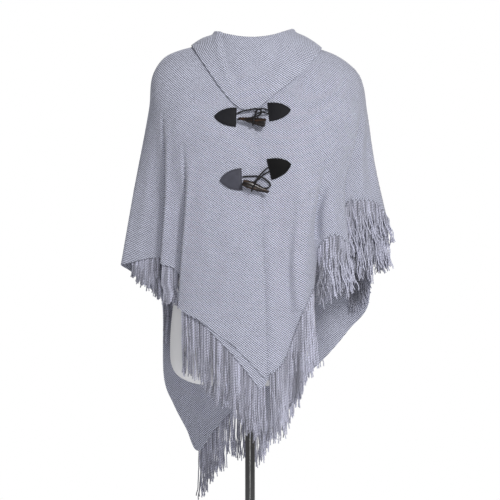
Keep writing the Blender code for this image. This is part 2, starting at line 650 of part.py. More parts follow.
def add_fringe(tree, fringe):
    """A strip with its strands: each strand is drawn down out of the strip's lower face."""
    turns = strand_stations(fringe)
    drops = fringe_drop(fringe, turns)
    roots, ups, outs = sewn_edge(fringe, turns)
    points = []
    for root, up, out in zip(roots, ups, outs * fringe.side):
        half = out * STRIP_WALL / 2
        for base in (root, root + up * STRIP_HEIGHT):
            if fringe.row != "band":
                near = KNIT_WALL / 2 + fringe.gap * MM
                base = held_off(tree, base - half, near, fringe.side) + half
            points += [(base + half).tolist(), (base - half).tolist()]
    faces = [(0, 1, 3, 2), tuple(4 * (len(turns) - 1) + corner for corner in (0, 2, 3, 1))]
    for i in range(len(turns) - 1):
        a, b = 4 * i, 4 * i + 4
        faces += [(a, b, b + 2, a + 2), (a + 1, a + 3, b + 3, b + 1), (a + 2, b + 2, b + 3, a + 3)]
        if i % 2:
            faces.append((a, a + 1, b + 1, b))
            continue
        strand = i // 2
        length = strand_length(fringe, strand)
        to_the_side, to_the_back = (wave(strand, *values) for values in SWAY_WAVES)
        ring = [a, b, b + 1, a + 1]
        corners = np.array([points[corner] for corner in ring])
        centre = corners.mean(axis=0)
        turn, drop = (turns[i] + turns[i + 1]) / 2, (drops[i] + drops[i + 1]) / 2
        for level in STRAND_LEVELS:
            sway = level * np.array((to_the_side, to_the_back, 0))
            spread = (corners - centre) * (1 + (STRAND_TAPER - 1) * level)
            spread[:, 2] = 0
            place = centre + sway + hung(turn, drop, length * level)
            if fringe.row != "band":
                lift = STRAND_LIFT * min(2 * level, 1) if fringe.row in ("back", "inside") else 0
                place = place + outs[i] * fringe.side * lift
                held = [held_off(tree, place + off, STRAND_CLEAR, fringe.side) - off for off in spread]
                place = max(held, key=lambda point: np.linalg.norm(point - place))
            lower = list(range(len(points), len(points) + 4))
            points += (place + spread).tolist()
            faces += [(ring[k], ring[(k + 1) % 4], lower[(k + 1) % 4], lower[k]) for k in range(4)]
            ring = lower
        faces.append(tuple(ring))
    return add_solid(fringe.name, points, faces, "fringe")


# ------------------------------------------------------------------ the toggles
def add_tab(tree, tab):
    """A leather tab: one straight edge, and two curved sides that meet in a point."""
    along_count, across_count = TAB_GRID
    tilt = math.radians(tab.tilt)
    axis = np.array((tab.side * math.cos(tilt), math.sin(tilt)))
    cross = np.array((-axis[1], axis[0]))
    middle, normals = [], []
    for share in 1 - (1 - np.linspace(0, 1, along_count)) ** TAB_CROWDING:
        half = max(tab.height * MM / 2 * (1 - share ** TAB_BELLY) ** TAB_POINT, TAB_TIP_HALF)
        column = []
        for off in np.linspace(-half, half, across_count):
            x, z = np.array((tab.edge_x, tab.edge_z)) * MM + axis * share * tab.length * MM + cross * off
            point, normal = on_front(tree, x, z)
            column.append(point)
            normals.append(normal)
        middle.append(column)
    out = unit(np.mean(normals, axis=0))
    lay = (KNIT_WALL + TAB_WALL) / 2 + LAY_GAP
    middle = np.array(middle) + out * lay
    return add_wall(tab.name, middle, np.broadcast_to(out, middle.shape), TAB_WALL, "leather")


def horn_frame(tree, horn):
    """The ends of a horn's axis, and the directions across it and out of the cloth."""
    first, out_first = over_front(tree, horn.first_x * MM, horn.first_z * MM)
    last, out_last = over_front(tree, horn.last_x * MM, horn.last_z * MM)
    out = unit(out_first + out_last)
    first, last = first + out * horn.height * MM, last + out * horn.height * MM
    across = unit(np.cross(unit(last - first), out))
    if across[2] < 0:
        across = -across
    return first, last, across, out


def add_horn(tree, horn):
    """A tapered, slightly flattened piece of horn that stands a little off the cloth."""
    first, last, across, out = horn_frame(tree, horn)
    angles = np.arange(HORN_SIDES) * 2 * math.pi / HORN_SIDES
    circle = np.outer(np.cos(angles), across) + np.outer(np.sin(angles), out) * HORN_FLATNESS
    shares = np.linspace(0, 1, len(horn.radii))
    rings = [first + (last - first) * share + circle * radius * MM
             for share, radius in zip(shares, horn.radii)]
    return add_rings(horn.name, np.array(rings), "horn")


def add_rings(name, rings, finish):
    """A solid through a row of closed rings with the same number of points, capped at both ends."""
    count, sides = rings.shape[:2]
    faces = []
    for level in range(count - 1):
        for a in range(sides):
            b = (a + 1) % sides
            faces.append((level * sides + a, level * sides + b,
                          (level + 1) * sides + b, (level + 1) * sides + a))
    faces += [tuple(range(sides)), tuple((count - 1) * sides + a for a in range(sides))]
    return add_solid(name, rings.reshape(-1, 3), faces, finish)


def add_cord(name, knots):
    """A round cord along a smooth path."""
    knots = np.array(knots)
    run = np.append(0, np.cumsum(np.linalg.norm(np.diff(knots, axis=0), axis=1)))
    path = through(run, knots, np.linspace(0, run[-1], round(run[-1] / CORD_STEP) + 1))
    along = unit(np.gradient(path, axis=0))
    angles = np.arange(CORD_SIDES) * 2 * math.pi / CORD_SIDES
    side = unit(np.cross(along[0], (0, 1, 0)))
    rings = []
    for place, ahead in zip(path, along):
        side = unit(side - ahead * np.dot(side, ahead))
        other = np.cross(ahead, side)
        rings.append(place + CORD_RADIUS * (np.outer(np.cos(angles), side) + np.outer(np.sin(angles), other)))
    return add_rings(name, np.array(rings), "cord")


def laid(tree, places):
    """Places over the front of the cloth, at their heights."""
    found = [(over_front(tree, x * MM, z * MM), height) for x, z, height in places]
    return [point + normal * height * MM for (point, normal), height in found]


def tie_knots(tree, tie):
    """A tie's path: out from the tab, round the horn and back to the tab."""
    horn = HORNS[tie.horn]
    first, last, across, out = horn_frame(tree, horn)
    radius = MM * np.interp(tie.share, np.linspace(0, 1, len(horn.radii)), horn.radii)
    reach = radius + CORD_RADIUS + TIE_CLEAR
    depth = radius * HORN_FLATNESS + CORD_RADIUS + TIE_CLEAR
    around = []
    for share in np.linspace(0, 1, TIE_POINTS):
        angle = math.radians(TIE_FIRST_ANGLE + (TIE_LAST_ANGLE - TIE_FIRST_ANGLE) * share)
        centre = first + (last - first) * tie.share - unit(last - first) * TIE_SPREAD * (share - 0.5)
        around.append(centre + across * math.cos(angle) * reach + out * math.sin(angle) * depth)
    return laid(tree, tie.out) + around + laid(tree, tie.back)


def add_toggles(tree):
    for tab in TABS:
        add_tab(tree, tab)
    for horn in HORNS:
        add_horn(tree, horn)
    for name, places in LOOPS.items():
        add_cord(name, laid(tree, places))
    for tie in TIES:
        add_cord(tie.name, tie_knots(tree, tie))


# ------------------------------------------------------------------ the dress form
def add_torso(tree):
    """The covered torso. Where it would reach the cloth it lies just under it, and so carries it."""
    turns = np.arange(TORSO_SIDES) * 2 * math.pi / TORSO_SIDES
    power = 2 / TORSO_SQUARENESS
    across = np.sign(np.sin(turns)) * np.abs(np.sin(turns)) ** power
    along = np.sign(np.cos(turns)) * np.abs(np.cos(turns)) ** power
    points = []
    top = TORSO[-1].z
    for section in TORSO:
        for side, fore in zip(across, along):
            point = np.array((
                TORSO_X - TORSO_LEAN * (top - section.z) * MM + section.half_width * MM * side,
                (section.back - section.half_depth * fore) * MM,
                section.z * MM,
            ))
            if section.z < top and point[2] > REST_FROM:
                point = held_off(tree, point, KNIT_WALL / 2 + REST_GAP, -1)
            points.append(point)
    rings = np.array(points).reshape(len(TORSO), TORSO_SIDES, 3)
    return add_rings("form_torso", rings, "form_cloth")


def add_turned(name, profile, sides, finish):
    """A solid of revolution about the Z axis from (radius, height) pairs, closed at both ends."""
    angles = np.arange(sides) * 2 * math.pi / sides
    circle = np.stack((np.cos(angles), np.sin(angles), 0 * angles), axis=1)
    rings = [circle * radius + (0, 0, height) for radius, height in profile]
    return add_rings(name, np.array(rings), finish)


def add_stand():
    hub_top = BASE_HEIGHT + HUB_HEIGHT
    add_turned("form_base", (
        (BASE_RADIUS, 0),
        (BASE_RADIUS, BASE_SIDE),
        (BASE_RADIUS - BASE_SLOPE, BASE_HEIGHT),
        (HUB_RADIUS, BASE_HEIGHT + BASE_CROWN),
        (HUB_RADIUS - HUB_TAPER, hub_top),
    ), BASE_SIDES, "stand_metal")
    torso_bottom = TORSO[0].z * MM
    add_turned("form_pole", (
        (POLE_RADIUS, hub_top + SEAM_GAP),
        (POLE_RADIUS, torso_bottom - SEAM_GAP),
    ), POLE_SIDES, "stand_metal")


def main():
    clear_scene()
    tree = cloth_tree()
    add_torso(tree)
    add_stand()
    add_poncho()
    add_collar()
    add_hem_band()
    for fringe in FRINGES:
        add_fringe(tree, fringe)
    add_toggles(tree)


main()
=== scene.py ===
"""A knitted poncho sweater with two horn toggles, worn by a limbless dress form on its stand.

Metres, +Z up, the wearer faces -Y and +X is at the viewer's right.
"""

import math
from collections import namedtuple

import bpy
import numpy as np
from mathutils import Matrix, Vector, geometry
from mathutils.bvhtree import BVHTree


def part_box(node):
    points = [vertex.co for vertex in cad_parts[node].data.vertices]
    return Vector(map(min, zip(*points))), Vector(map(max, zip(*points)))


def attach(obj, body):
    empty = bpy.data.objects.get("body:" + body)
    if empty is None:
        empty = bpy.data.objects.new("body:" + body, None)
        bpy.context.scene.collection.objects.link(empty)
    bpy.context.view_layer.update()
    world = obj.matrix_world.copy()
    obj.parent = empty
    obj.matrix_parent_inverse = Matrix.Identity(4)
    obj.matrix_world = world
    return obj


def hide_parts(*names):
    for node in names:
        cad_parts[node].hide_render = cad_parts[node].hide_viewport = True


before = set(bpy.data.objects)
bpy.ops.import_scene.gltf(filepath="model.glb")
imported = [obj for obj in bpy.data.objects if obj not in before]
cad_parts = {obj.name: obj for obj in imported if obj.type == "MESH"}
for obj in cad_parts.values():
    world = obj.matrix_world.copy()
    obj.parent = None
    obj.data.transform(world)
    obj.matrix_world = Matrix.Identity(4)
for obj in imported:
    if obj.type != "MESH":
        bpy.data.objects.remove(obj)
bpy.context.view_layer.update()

# ------------------------------------------------------------------ the camera, the light and the floor
# A camera level with the waist, a softbox high in front at the right, weaker ones at the left, near the
# floor and behind, and an even white room. The floor is a pale disc that fades into the white round it.
CAMERA_DISTANCE = 3.0
CAMERA_HEIGHT = 0.95
VIEW_WIDTH = 1.075          # what the camera sees at the garment's middle
SENSOR = 36
ROOM_LIGHT = 0.335          # strength of the white room on the object
FLOOR_RADIUS = 2.1
FLOOR_SIDES = 96
FLOOR_COLOUR = (0.86, 0.86, 0.87, 1)
FADE_FROM, FADE_TO = 0.35, 0.95     # where the floor turns white, as shares of its radius
Softbox = namedtuple("Softbox", "name place target size power colour")
SOFTBOXES = [Softbox(*row) for row in (
    # name             place                target        size  W   colour
    ("key softbox",   (1.25, -2.8, 2.6),   (0, 0, 1.1),   0.5,  84, (1.0, 0.99, 0.975)),
    ("fill softbox",  (-1.7, -2.6, 1.6),   (0, 0, 1.0),   1.6,   5, (0.97, 0.98, 1.0)),
    ("rear softbox",  (0.5, 2.6, 2.6),     (0, 0, 1.0),   1.8,  34, (1.0, 1.0, 1.0)),
    ("low softbox",   (0.1, -2.8, 0.2),    (0, 0, 0.6),   0.8,  13, (1.0, 1.0, 1.0)),
)]

scene = bpy.context.scene
scene.view_settings.view_transform = "Standard"
camera_data = bpy.data.cameras.new("camera")
camera_data.sensor_width = SENSOR
camera_data.lens = SENSOR * CAMERA_DISTANCE / VIEW_WIDTH
camera = bpy.data.objects.new("camera", camera_data)
camera.location = (0, -CAMERA_DISTANCE, CAMERA_HEIGHT)
camera.rotation_euler = (math.pi / 2, 0, 0)
scene.collection.objects.link(camera)
scene.camera = camera


def add_node(tree, kind, inputs=(), **settings):
    """A node with its settings, its inputs set to values or linked from sockets."""
    made = tree.nodes.new(kind)
    for key, value in settings.items():
        setattr(made, key, value)
    for key, value in dict(inputs).items():
        if isinstance(value, bpy.types.NodeSocket):
            tree.links.new(value, made.inputs[key])
        else:
            made.inputs[key].default_value = value
    return made


def even_turns(count):
    """Angles round a full turn, in radians."""
    return np.arange(count) * 2 * math.pi / count


for softbox in SOFTBOXES:
    light = bpy.data.lights.new(softbox.name, "AREA")
    light.size = softbox.size
    light.energy = softbox.power
    light.color = softbox.colour
    lamp = bpy.data.objects.new(softbox.name, light)
    lamp.location = softbox.place
    aim = Vector(softbox.target) - Vector(softbox.place)
    lamp.rotation_euler = aim.to_track_quat("-Z", "Y").to_euler()
    scene.collection.objects.link(lamp)

room = bpy.data.worlds.new("white room")
room.use_nodes = True
room.node_tree.nodes.clear()
seen = add_node(room.node_tree, "ShaderNodeLightPath").outputs["Is Camera Ray"]
glow = add_node(room.node_tree, "ShaderNodeMapRange", {
    "Value": seen, "To Min": ROOM_LIGHT, "To Max": 1.0}).outputs[0]
white = add_node(room.node_tree, "ShaderNodeBackground", {
    "Color": (1, 1, 1, 1), "Strength": glow}).outputs[0]
add_node(room.node_tree, "ShaderNodeOutputWorld", {"Surface": white})
scene.world = room

floor_mesh = bpy.data.meshes.new("floor")
rim = [(FLOOR_RADIUS * math.cos(a), FLOOR_RADIUS * math.sin(a), 0) for a in even_turns(FLOOR_SIDES)]
floor_mesh.from_pydata(rim, [], [list(range(FLOOR_SIDES))])
floor = bpy.data.objects.new("floor", floor_mesh)
scene.collection.objects.link(floor)
paint = bpy.data.materials.new("pale floor")
paint.use_nodes = True
paint.node_tree.nodes.clear()
spot = add_node(paint.node_tree, "ShaderNodeTexCoord").outputs["Object"]
reach = add_node(paint.node_tree, "ShaderNodeVectorMath", {0: spot}, operation="LENGTH").outputs["Value"]
fade = add_node(paint.node_tree, "ShaderNodeMapRange", {
    "Value": reach, "From Min": FLOOR_RADIUS * FADE_FROM, "From Max": FLOOR_RADIUS * FADE_TO,
}, interpolation_type="SMOOTHSTEP").outputs[0]
matt = add_node(paint.node_tree, "ShaderNodeBsdfDiffuse", {"Color": FLOOR_COLOUR}).outputs[0]
bright = add_node(paint.node_tree, "ShaderNodeEmission", {"Strength": 1.0}).outputs[0]
blend = add_node(paint.node_tree, "ShaderNodeMixShader", {0: fade, 1: matt, 2: bright}).outputs[0]
add_node(paint.node_tree, "ShaderNodeOutputMaterial", {"Surface": blend})
floor_mesh.materials.append(paint)


# ------------------------------------------------------------------ the stand
# A steel tube on a round plate, both coated in gloss black. The tube sits in a short hub that is
# welded to the plate, and carries the dress form at its top.
MM = 0.001
POLE_RADIUS = 10.5 * MM
BASE_RADIUS = 165 * MM
BASE_HEIGHT = 12 * MM
PLATE_CHAMFER = 1.5 * MM
PLATE_ROUNDING = 4.5 * MM
HUB_RADIUS = 24 * MM
HUB_ROUNDING = 3 * MM
HUB_TAPER = 2 * MM
WELD = 5 * MM
POLE_STEPS = 9
TURNED_SIDES = 96


def corner_points(mesh):
    """The number of the point at every corner of the mesh's faces."""
    corners = np.zeros(len(mesh.loops), np.int32)
    mesh.loops.foreach_get("vertex_index", corners)
    return corners


def add_piece(name, points, faces, material, places=None):
    """A smooth mesh object. places are the flat places of its points, in metres, as its UV map."""
    mesh = bpy.data.meshes.new(name)
    mesh.from_pydata(np.asarray(points).tolist(), [], faces)
    if places is not None:
        flat_places = places[corner_points(mesh)].astype(np.float32)
        mesh.uv_layers.new(name="cloth").data.foreach_set("uv", flat_places.ravel())
    mesh.shade_smooth()
    mesh.set_sharp_from_angle(angle=math.radians(60))
    mesh.materials.append(material)
    piece = bpy.data.objects.new(name, mesh)
    scene.collection.objects.link(piece)
    return piece


def settle(piece, slot, *nodes):
    """The piece rides on the part's one body, and stands for these solids."""
    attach(piece, "root")
    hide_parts(*nodes)


def new_material(name, colour, roughness, **sockets):
    """A material with one principled shader, and the plain values of its sockets."""
    material = bpy.data.materials.new(name)
    material.use_nodes = True
    shader = material.node_tree.nodes["Principled BSDF"]
    shader.inputs["Base Color"].default_value = (*colour, 1)
    shader.inputs["Roughness"].default_value = roughness
    for key, value in sockets.items():
        shader.inputs[key.replace("_", " ")].default_value = value
    return material, material.node_tree, shader


def ring_faces(rings, sides):
    """Quads between closed rings of points that follow each other, and a cap at both ends."""
    faces = [(a * sides + b, a * sides + (b + 1) % sides,
              (a + 1) * sides + (b + 1) % sides, (a + 1) * sides + b)
             for a in range(rings - 1) for b in range(sides)]
    return faces + [tuple(range(sides))[::-1], tuple((rings - 1) * sides + b for b in range(sides))]


def turned(profile, sides=TURNED_SIDES):
    """Rings about the Z axis from (radius, height) pairs, from the bottom up."""
    turns = even_turns(sides)
    circle = np.stack((np.cos(turns), np.sin(turns), 0 * turns), axis=1)
    return np.concatenate([circle * radius + (0, 0, height) for radius, height in profile])


def rounded(radius, height, size, steps=5):
    """The profile points of a rounded outer edge, from its side up to its top."""
    turn = np.linspace(0, math.pi / 2, steps)
    return [(radius - size * (1 - math.cos(a)), height - size * (1 - math.sin(a))) for a in turn]


def object_place(tree):
    """The place in the object's own frame."""
    return add_node(tree, "ShaderNodeTexCoord").outputs["Object"]


def noise(tree, place, scale, detail=2.0):
    """A noise pattern with that many cells in a metre."""
    return add_node(tree, "ShaderNodeTexNoise", {
        "Vector": place, "Scale": scale, "Detail": detail}).outputs[0]


def bumped(tree, shader, height, strength, distance):
    """Raises and sinks the shader's surface by a pattern of heights."""
    bump = add_node(tree, "ShaderNodeBump", {"Height": height, "Strength": strength, "Distance": distance})
    tree.links.new(bump.outputs[0], shader.inputs["Normal"])


gloss, tree, shader = new_material("black coating", (0.034, 0.034, 0.035), 0.24, Coat_Weight=0.5,
                                   Coat_Roughness=0.08)
spot = object_place(tree)
scuffs = noise(tree, spot, 60.0, 6.0)
dull = add_node(tree, "ShaderNodeMapRange", {
    "Value": scuffs, "To Min": 0.14, "To Max": 0.34}).outputs[0]
tree.links.new(dull, shader.inputs["Roughness"])
orange_peel = noise(tree, spot, 700.0)
bumped(tree, shader, orange_peel, 0.15, 0.2 * MM)

_, base_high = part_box("form_base")
plate = ([(BASE_RADIUS - PLATE_CHAMFER, 0), (BASE_RADIUS, PLATE_CHAMFER)]
         + rounded(BASE_RADIUS, BASE_HEIGHT, PLATE_ROUNDING)
         + [(HUB_RADIUS + WELD * out, BASE_HEIGHT + WELD * up) for out, up in ((1, 0.24), (0.2, 0.5), (0, 1))]
         + rounded(HUB_RADIUS - HUB_TAPER, base_high.z, HUB_ROUNDING))
base = add_piece("stand_base", turned(plate), ring_faces(len(plate), TURNED_SIDES), gloss)
settle(base, "stand_metal", "form_base")

pole_low, pole_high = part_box("form_pole")
tube = [(POLE_RADIUS, z) for z in np.linspace(pole_low.z, pole_high.z, POLE_STEPS)]
pole = add_piece("stand_pole", turned(tube), ring_faces(len(tube), TURNED_SIDES), gloss)
settle(pole, "stand_metal", "form_pole")


# ------------------------------------------------------------------ the drape of the cloth
# The knit hangs in folds from the neck seam, over the shoulders and arms, to its hem. All pieces that
# are cut from the knit, or lie on it, take their places from this one drape.
KNIT_WALL = 2.4 * MM
Ring = namedtuple("Ring", "centre_x half_width front back front_z side_z back_z vee")
RINGS = (
    # neck seam, crest of the shoulders, top of the arms and upper arms: ovals about the neck, in mm
    Ring(7, 73, 92, 66, 1262, 1397, 1390, 1.0),
    Ring(4, 178, 116, 98, 1205, 1368, 1332, 1.6),
    Ring(13, 220, 132, 118, 1150, 1326, 1236, 2.0),
    Ring(17, 232, 139, 127, 1050, 1255, 1110, 2.0),
)
VEE_SOFTNESS = 0.06
DROPS = (0.0, 1.2, 1.75, 2.5, 4.3, 6.2)     # the rings, the half-way level and the hem
HEM_DROP = DROPS[-1]
# Lines that run down the cloth: the turn about the neck in degrees, from the front to the viewer's left,
# how far the line is tucked in behind, and its places half way down and at the hem, in mm.
Line = namedtuple("Line", "name turn tuck half_x half_y hem_x hem_y hem_z")
LINES = [Line(*row) for row in (
    # name                 turn  tuck  half_x half_y  hem_x hem_y hem_z
    ("left_front_edge",    -1.5,   0,     31,  -146,     35, -150,  683),
    ("left_front_1",         10,   0,    -23,  -144,    -22, -148,  743),
    ("left_front_2",         19,   0,    -60,  -137,    -61, -141,  774),
    ("left_front_3",         28,   0,    -98,  -126,   -103, -128,  804),
    ("pleat_b_crest",      37.7,   0,   -136,  -106,   -149, -101,  834),
    ("pleat_b_root",       41.5,   0,   -130,   -93,   -136,  -87,  872),
    ("pleat_b_after",      46.5,   0,   -145,   -84,   -156,  -77,  909),
    ("pleat_a_crest",      54.6,   0,   -176,   -73,   -188,  -65,  921),
    ("pleat_a_root",       58.5,   0,   -170,   -60,   -177,  -52,  927),
    ("pleat_a_after",        63,   0,   -183,   -51,   -191,  -42,  934),
    ("left_sleeve_1",        72,   0,   -210,   -36,   -224,  -27,  931),
    ("left_sleeve_2",        81,   0,   -234,   -18,   -256,  -12,  923),
    ("left_seam",            90,   0,   -247,     0,   -277,    2,  918),
    ("back_1",               99,   0,   -240,    24,   -262,   17,  907),
    ("back_2",              109,   0,   -223,    47,   -243,   36,  892),
    ("back_3",              119,   0,   -198,    67,   -217,   50,  865),
    ("back_4",              129,   0,   -171,    89,   -192,   66,  831),
    ("back_5",              138,   0,   -151,    98,   -190,   84,  672),
    ("back_6",              146,   0,   -129,   113,   -169,  106,  605),
    ("back_7",              153,   0,   -109,   112,   -142,  118,  550),
    ("back_8",              160,   0,    -87,   125,   -117,  136,  499),
    ("back_9",              167,   0,    -60,   124,    -75,  134,  552),
    ("back_10",             174,   0,    -28,   137,    -30,  150,  589),
    ("back_11",             181,   0,     10,   128,     14,  144,  562),
    ("back_12",             188,   0,     46,   139,     56,  152,  604),
    ("back_13",             195,   0,     82,   128,     95,  138,  634),
    ("back_14",             202,   0,    117,   129,    137,  144,  676),
    ("back_15",             211,   0,    153,   115,    182,  124,  724),
    ("back_16",             221,   0,    188,   108,    223,  120,  774),
    ("back_17",             232,   0,    218,    87,    260,   96,  823),
    ("back_18",             243,   0,    237,    66,    267,   70,  902),
    ("back_19",             254,   0,    251,    42,    279,   40,  946),
    ("back_20",             263,   0,    262,    20,    290,   20,  976),
    ("right_seam",          270,   0,    268,     0,    297,    2, 1004),
    ("right_sleeve_1",      276,   0,    251,   -17,    267,  -22, 1044),
    ("right_sleeve_2",      282,   0,    230,   -34,    235,  -40, 1048),
    ("pleat_d_after",       287,   0,    207,   -49,    206,  -54, 1047),
    ("pleat_d_root",        291,   0,    192,   -61,    194,  -67, 1005),
    ("pleat_d_crest",       296,   0,    197,   -77,    206,  -83,  958),
    ("right_drape_1",       305,   0,    178,   -95,    179, -101,  974),
    ("right_drape_2",       313,   0,    159,  -101,    158, -105,  965),
    ("pleat_c_root",        320,   0,    139,   -98,    140,  -94,  933),
    ("pleat_c_crest",       326,   0,    129,  -118,    131, -112,  871),
    ("right_front_4",       332,   0,    113,  -133,    113, -130,  823),
    ("right_front_3",       340,   0,     81,  -128,     86, -127,  750),
    ("right_front_2",       348,   2,     54,  -139,     62, -140,  702),
    ("right_front_1",     355.5,   5,     36,  -140,     39, -144,  684),
    ("right_front_edge",  362.3,   6,     19,  -138,     25, -143,  686),
)]


def unit(vectors):
    """The vectors, each made one long."""
    return vectors / np.linalg.norm(vectors, axis=-1, keepdims=True)


def run_along(points):
    """The way along a line of points, from the first to each of them."""
    return np.append(0, np.cumsum(np.linalg.norm(np.diff(points, axis=0), axis=1)))


def read_line(marks, run, points):
    """The places of a line of points at these marks along it."""
    return np.stack([np.interp(marks, run, axis) for axis in np.asarray(points).T], axis=1)


def through(knots, values, places):
    """A smooth curve that passes values[i] at knots[i], read at the places."""
    knots = np.asarray(knots, float)
    values = np.asarray(values, float)
    places = np.asarray(places, float)
    spread = (slice(None),) + (None,) * (values.ndim - 1)
    step = np.diff(knots)[spread]
    rate = np.diff(values, axis=0) / step
    chord = (values[2:] - values[:-2]) / (knots[2:] - knots[:-2])[spread]
    slope = np.concatenate((rate[:1], chord, rate[-1:]))
    span = np.clip(np.searchsorted(knots, places, side="right") - 1, 0, len(knots) - 2)
    width = step[span]
    share = (places - knots[span])[spread] / width
    start, end = values[span], values[span + 1]
    rise = share * share * (3 - 2 * share)
    lead = share * (1 - share) ** 2 * width
    tail = share * share * (share - 1) * width
    return start + (end - start) * rise + slope[span] * lead + slope[span + 1] * tail


def ring_point(ring, turn):
    """The point of an oval about the neck, at a turn in degrees from the front towards the viewer's left."""
    across = math.sin(math.radians(turn))
    along = math.cos(math.radians(turn))
    in_front = along > 0
    end_depth = -ring.front if in_front else ring.back
    end_z = ring.front_z if in_front else ring.back_z
    reach = math.hypot(across, VEE_SOFTNESS) / math.hypot(1, VEE_SOFTNESS)
    share = 1 - reach ** (ring.vee if in_front else 2)
    return MM * np.array((
        ring.centre_x - ring.half_width * across,
        end_depth * abs(along),
        ring.side_z + (end_z - ring.side_z) * share,
    ))


def line_points(line):
    """The six points that a line of the drape passes: four rings, half way and the hem."""
    rings = [ring_point(ring, line.turn) + (0, line.tuck * MM, 0) for ring in RINGS]
    half = MM * np.array((line.half_x, line.half_y, (rings[-1][2] / MM + line.hem_z) / 2))
    hem = MM * np.array((line.hem_x, line.hem_y, line.hem_z))
    return rings + [half, hem]


TURNS = np.array([line.turn for line in LINES])
LINE_POINTS = np.array([line_points(line) for line in LINES])


def drape(turns, drops):
    """Points of the cloth's middle surface, for every turn and every drop."""
    down = through(DROPS, LINE_POINTS.transpose(1, 0, 2), drops)
    return through(TURNS, down.transpose(1, 0, 2), turns)


# Soft creases: troughs (a height below 0) and ridges, in mm, along a line from one turn and drop to
# another. reach is half of a crease's width.
Crease = namedtuple("Crease", "turn drop last_turn last_drop height reach")
CREASES = [Crease(*row) for row in (
    #  turn   drop  to turn  drop height  reach
    (  59.6,  2.05,   60.0,  5.80,  -9.0,   4.5),     # the shaded side of the left front's outer pleat
    (  54.0,  2.05,   54.4,  5.60,   3.0,   6.0),
    (  41.8,  2.15,   42.0,  5.90,  -9.0,   4.5),     # and of its inner pleat
    (  37.0,  2.15,   37.8,  5.60,   3.0,   6.0),
    (  67.5,  2.70,   71.8,  6.00,  -1.4,  10.0),     # the left sleeve
    (  74.0,  3.30,   77.5,  6.10,   1.6,   9.0),
    (  52.0,  2.25,   41.0,  1.75,   1.8,   8.0),     # from the left arm's pit to the chest
    (  36.0,  2.25,   27.0,  1.75,   1.6,   8.0),
    (  26.5,  2.90,   29.0,  4.60,   1.4,  10.0),     # from the lower toggle to the left and down
    (  14.0,  2.75,   15.5,  4.60,   1.3,  11.0),
    (  21.0,  3.60,   22.5,  5.80,  -1.6,  12.0),
    (   7.0,  3.10,    8.5,  5.70,   1.3,  12.0),
    ( 349.0,  2.35,  346.0,  5.60,  -6.0,  10.0),     # the right front's valleys and ridges
    ( 338.5,  2.40,  335.5,  5.80,  11.0,  13.0),
    ( 323.5,  2.20,  320.5,  5.40,  -9.5,   9.0),
    ( 311.0,  2.30,  306.0,  5.90,   1.8,  10.0),
    ( 351.5,  2.90,  352.5,  5.30,   1.4,   8.0),
    (  -1.5,  2.00,   -1.5,  6.10,  -2.6,   7.0),     # the left front's edge, which lies on the right front
    ( 330.0,  1.95,  317.0,  2.35,   1.4,   9.0),
    ( 290.0,  2.10,  289.0,  5.60,  -8.0,   8.0),     # the right sleeve's pleat and its folds
    ( 298.0,  2.00,  297.5,  5.50,   2.0,   7.0),
    ( 281.0,  2.60,  281.0,  6.00,   4.5,   9.0),
    ( 276.0,  3.20,  276.5,  6.00,  -2.2,   6.0),
    ( 272.0,  3.60,  272.5,  6.00,   1.6,   6.0),
    (  99.0,  2.50,  103.0,  5.90,   1.8,  11.0),     # the back
    ( 113.0,  2.30,  116.0,  5.80,  -2.2,  12.0),
    ( 131.0,  1.80,  134.0,  5.60,   2.0,  12.0),
    ( 149.0,  1.70,  147.0,  5.60,  -2.4,  13.0),
    ( 163.0,  1.50,  158.0,  5.50,   1.8,  12.0),
    ( 177.0,  1.70,  177.0,  5.60,  -2.2,  14.0),
    ( 191.0,  1.50,  196.0,  5.10,   1.8,  12.0),
    ( 207.0,  1.80,  208.0,  5.00,  -2.4,  13.0),
    ( 226.0,  1.90,  222.0,  5.00,   1.8,  12.0),
    ( 244.0,  2.30,  240.0,  5.60,  -2.0,  12.0),
    ( 258.0,  2.60,  256.0,  5.80,   1.6,  11.0),
)]
CREASE_STEPS = np.linspace(0, 1, 30)


def drape_at(turn, drop):
    """One point of the cloth's middle surface."""
    return drape([turn], [drop])[0, 0]


def crease_line(crease):
    """A crease with the points that it follows on the drape."""
    turns = crease.turn + (crease.last_turn - crease.turn) * CREASE_STEPS
    drops = crease.drop + (crease.last_drop - crease.drop) * CREASE_STEPS
    return crease, np.array([drape_at(turn, drop) for turn, drop in zip(turns, drops)])


CREASE_LINES = [crease_line(crease) for crease in CREASES]


def creased(middle, lines=CREASE_LINES):
    """The grid of points, moved along its normals where creases pass."""
    height = np.zeros(middle.shape[:2])
    for crease, line in lines:
        margin = 3 * crease.reach * MM
        near = ((middle > line.min(axis=0) - margin) & (middle < line.max(axis=0) + margin)).all(axis=2)
        away = np.linalg.norm(middle[near][:, None] - line, axis=2)
        closest = away.argmin(axis=1)
        share = closest / (len(line) - 1)
        fade = np.sqrt(np.clip(4 * share * (1 - share), 0, 1))
        height[near] += crease.height * fade * np.exp(-(away.min(axis=1) / (crease.reach * MM)) ** 2)
    return middle + grid_normals(middle) * (height * MM)[..., None]


def grid_normals(points):
    """Outward normals of a grid of points that is stored turn by turn."""
    around = np.gradient(points, axis=0)
    down = np.gradient(points, axis=1)
    return unit(np.cross(around, down))


def turn_of(name):
    """The turn of a line of the drape."""
    return next(line.turn for line in LINES if line.name == name)


def grid_faces(across, down, start=0, closed=False):
    """Quads of a grid of points that is stored column by column."""
    return [(start + a * down + b, start + (a + 1) % across * down + b,
             start + (a + 1) % across * down + b + 1, start + a * down + b + 1)
            for a in range(across if closed else across - 1) for b in range(down - 1)]


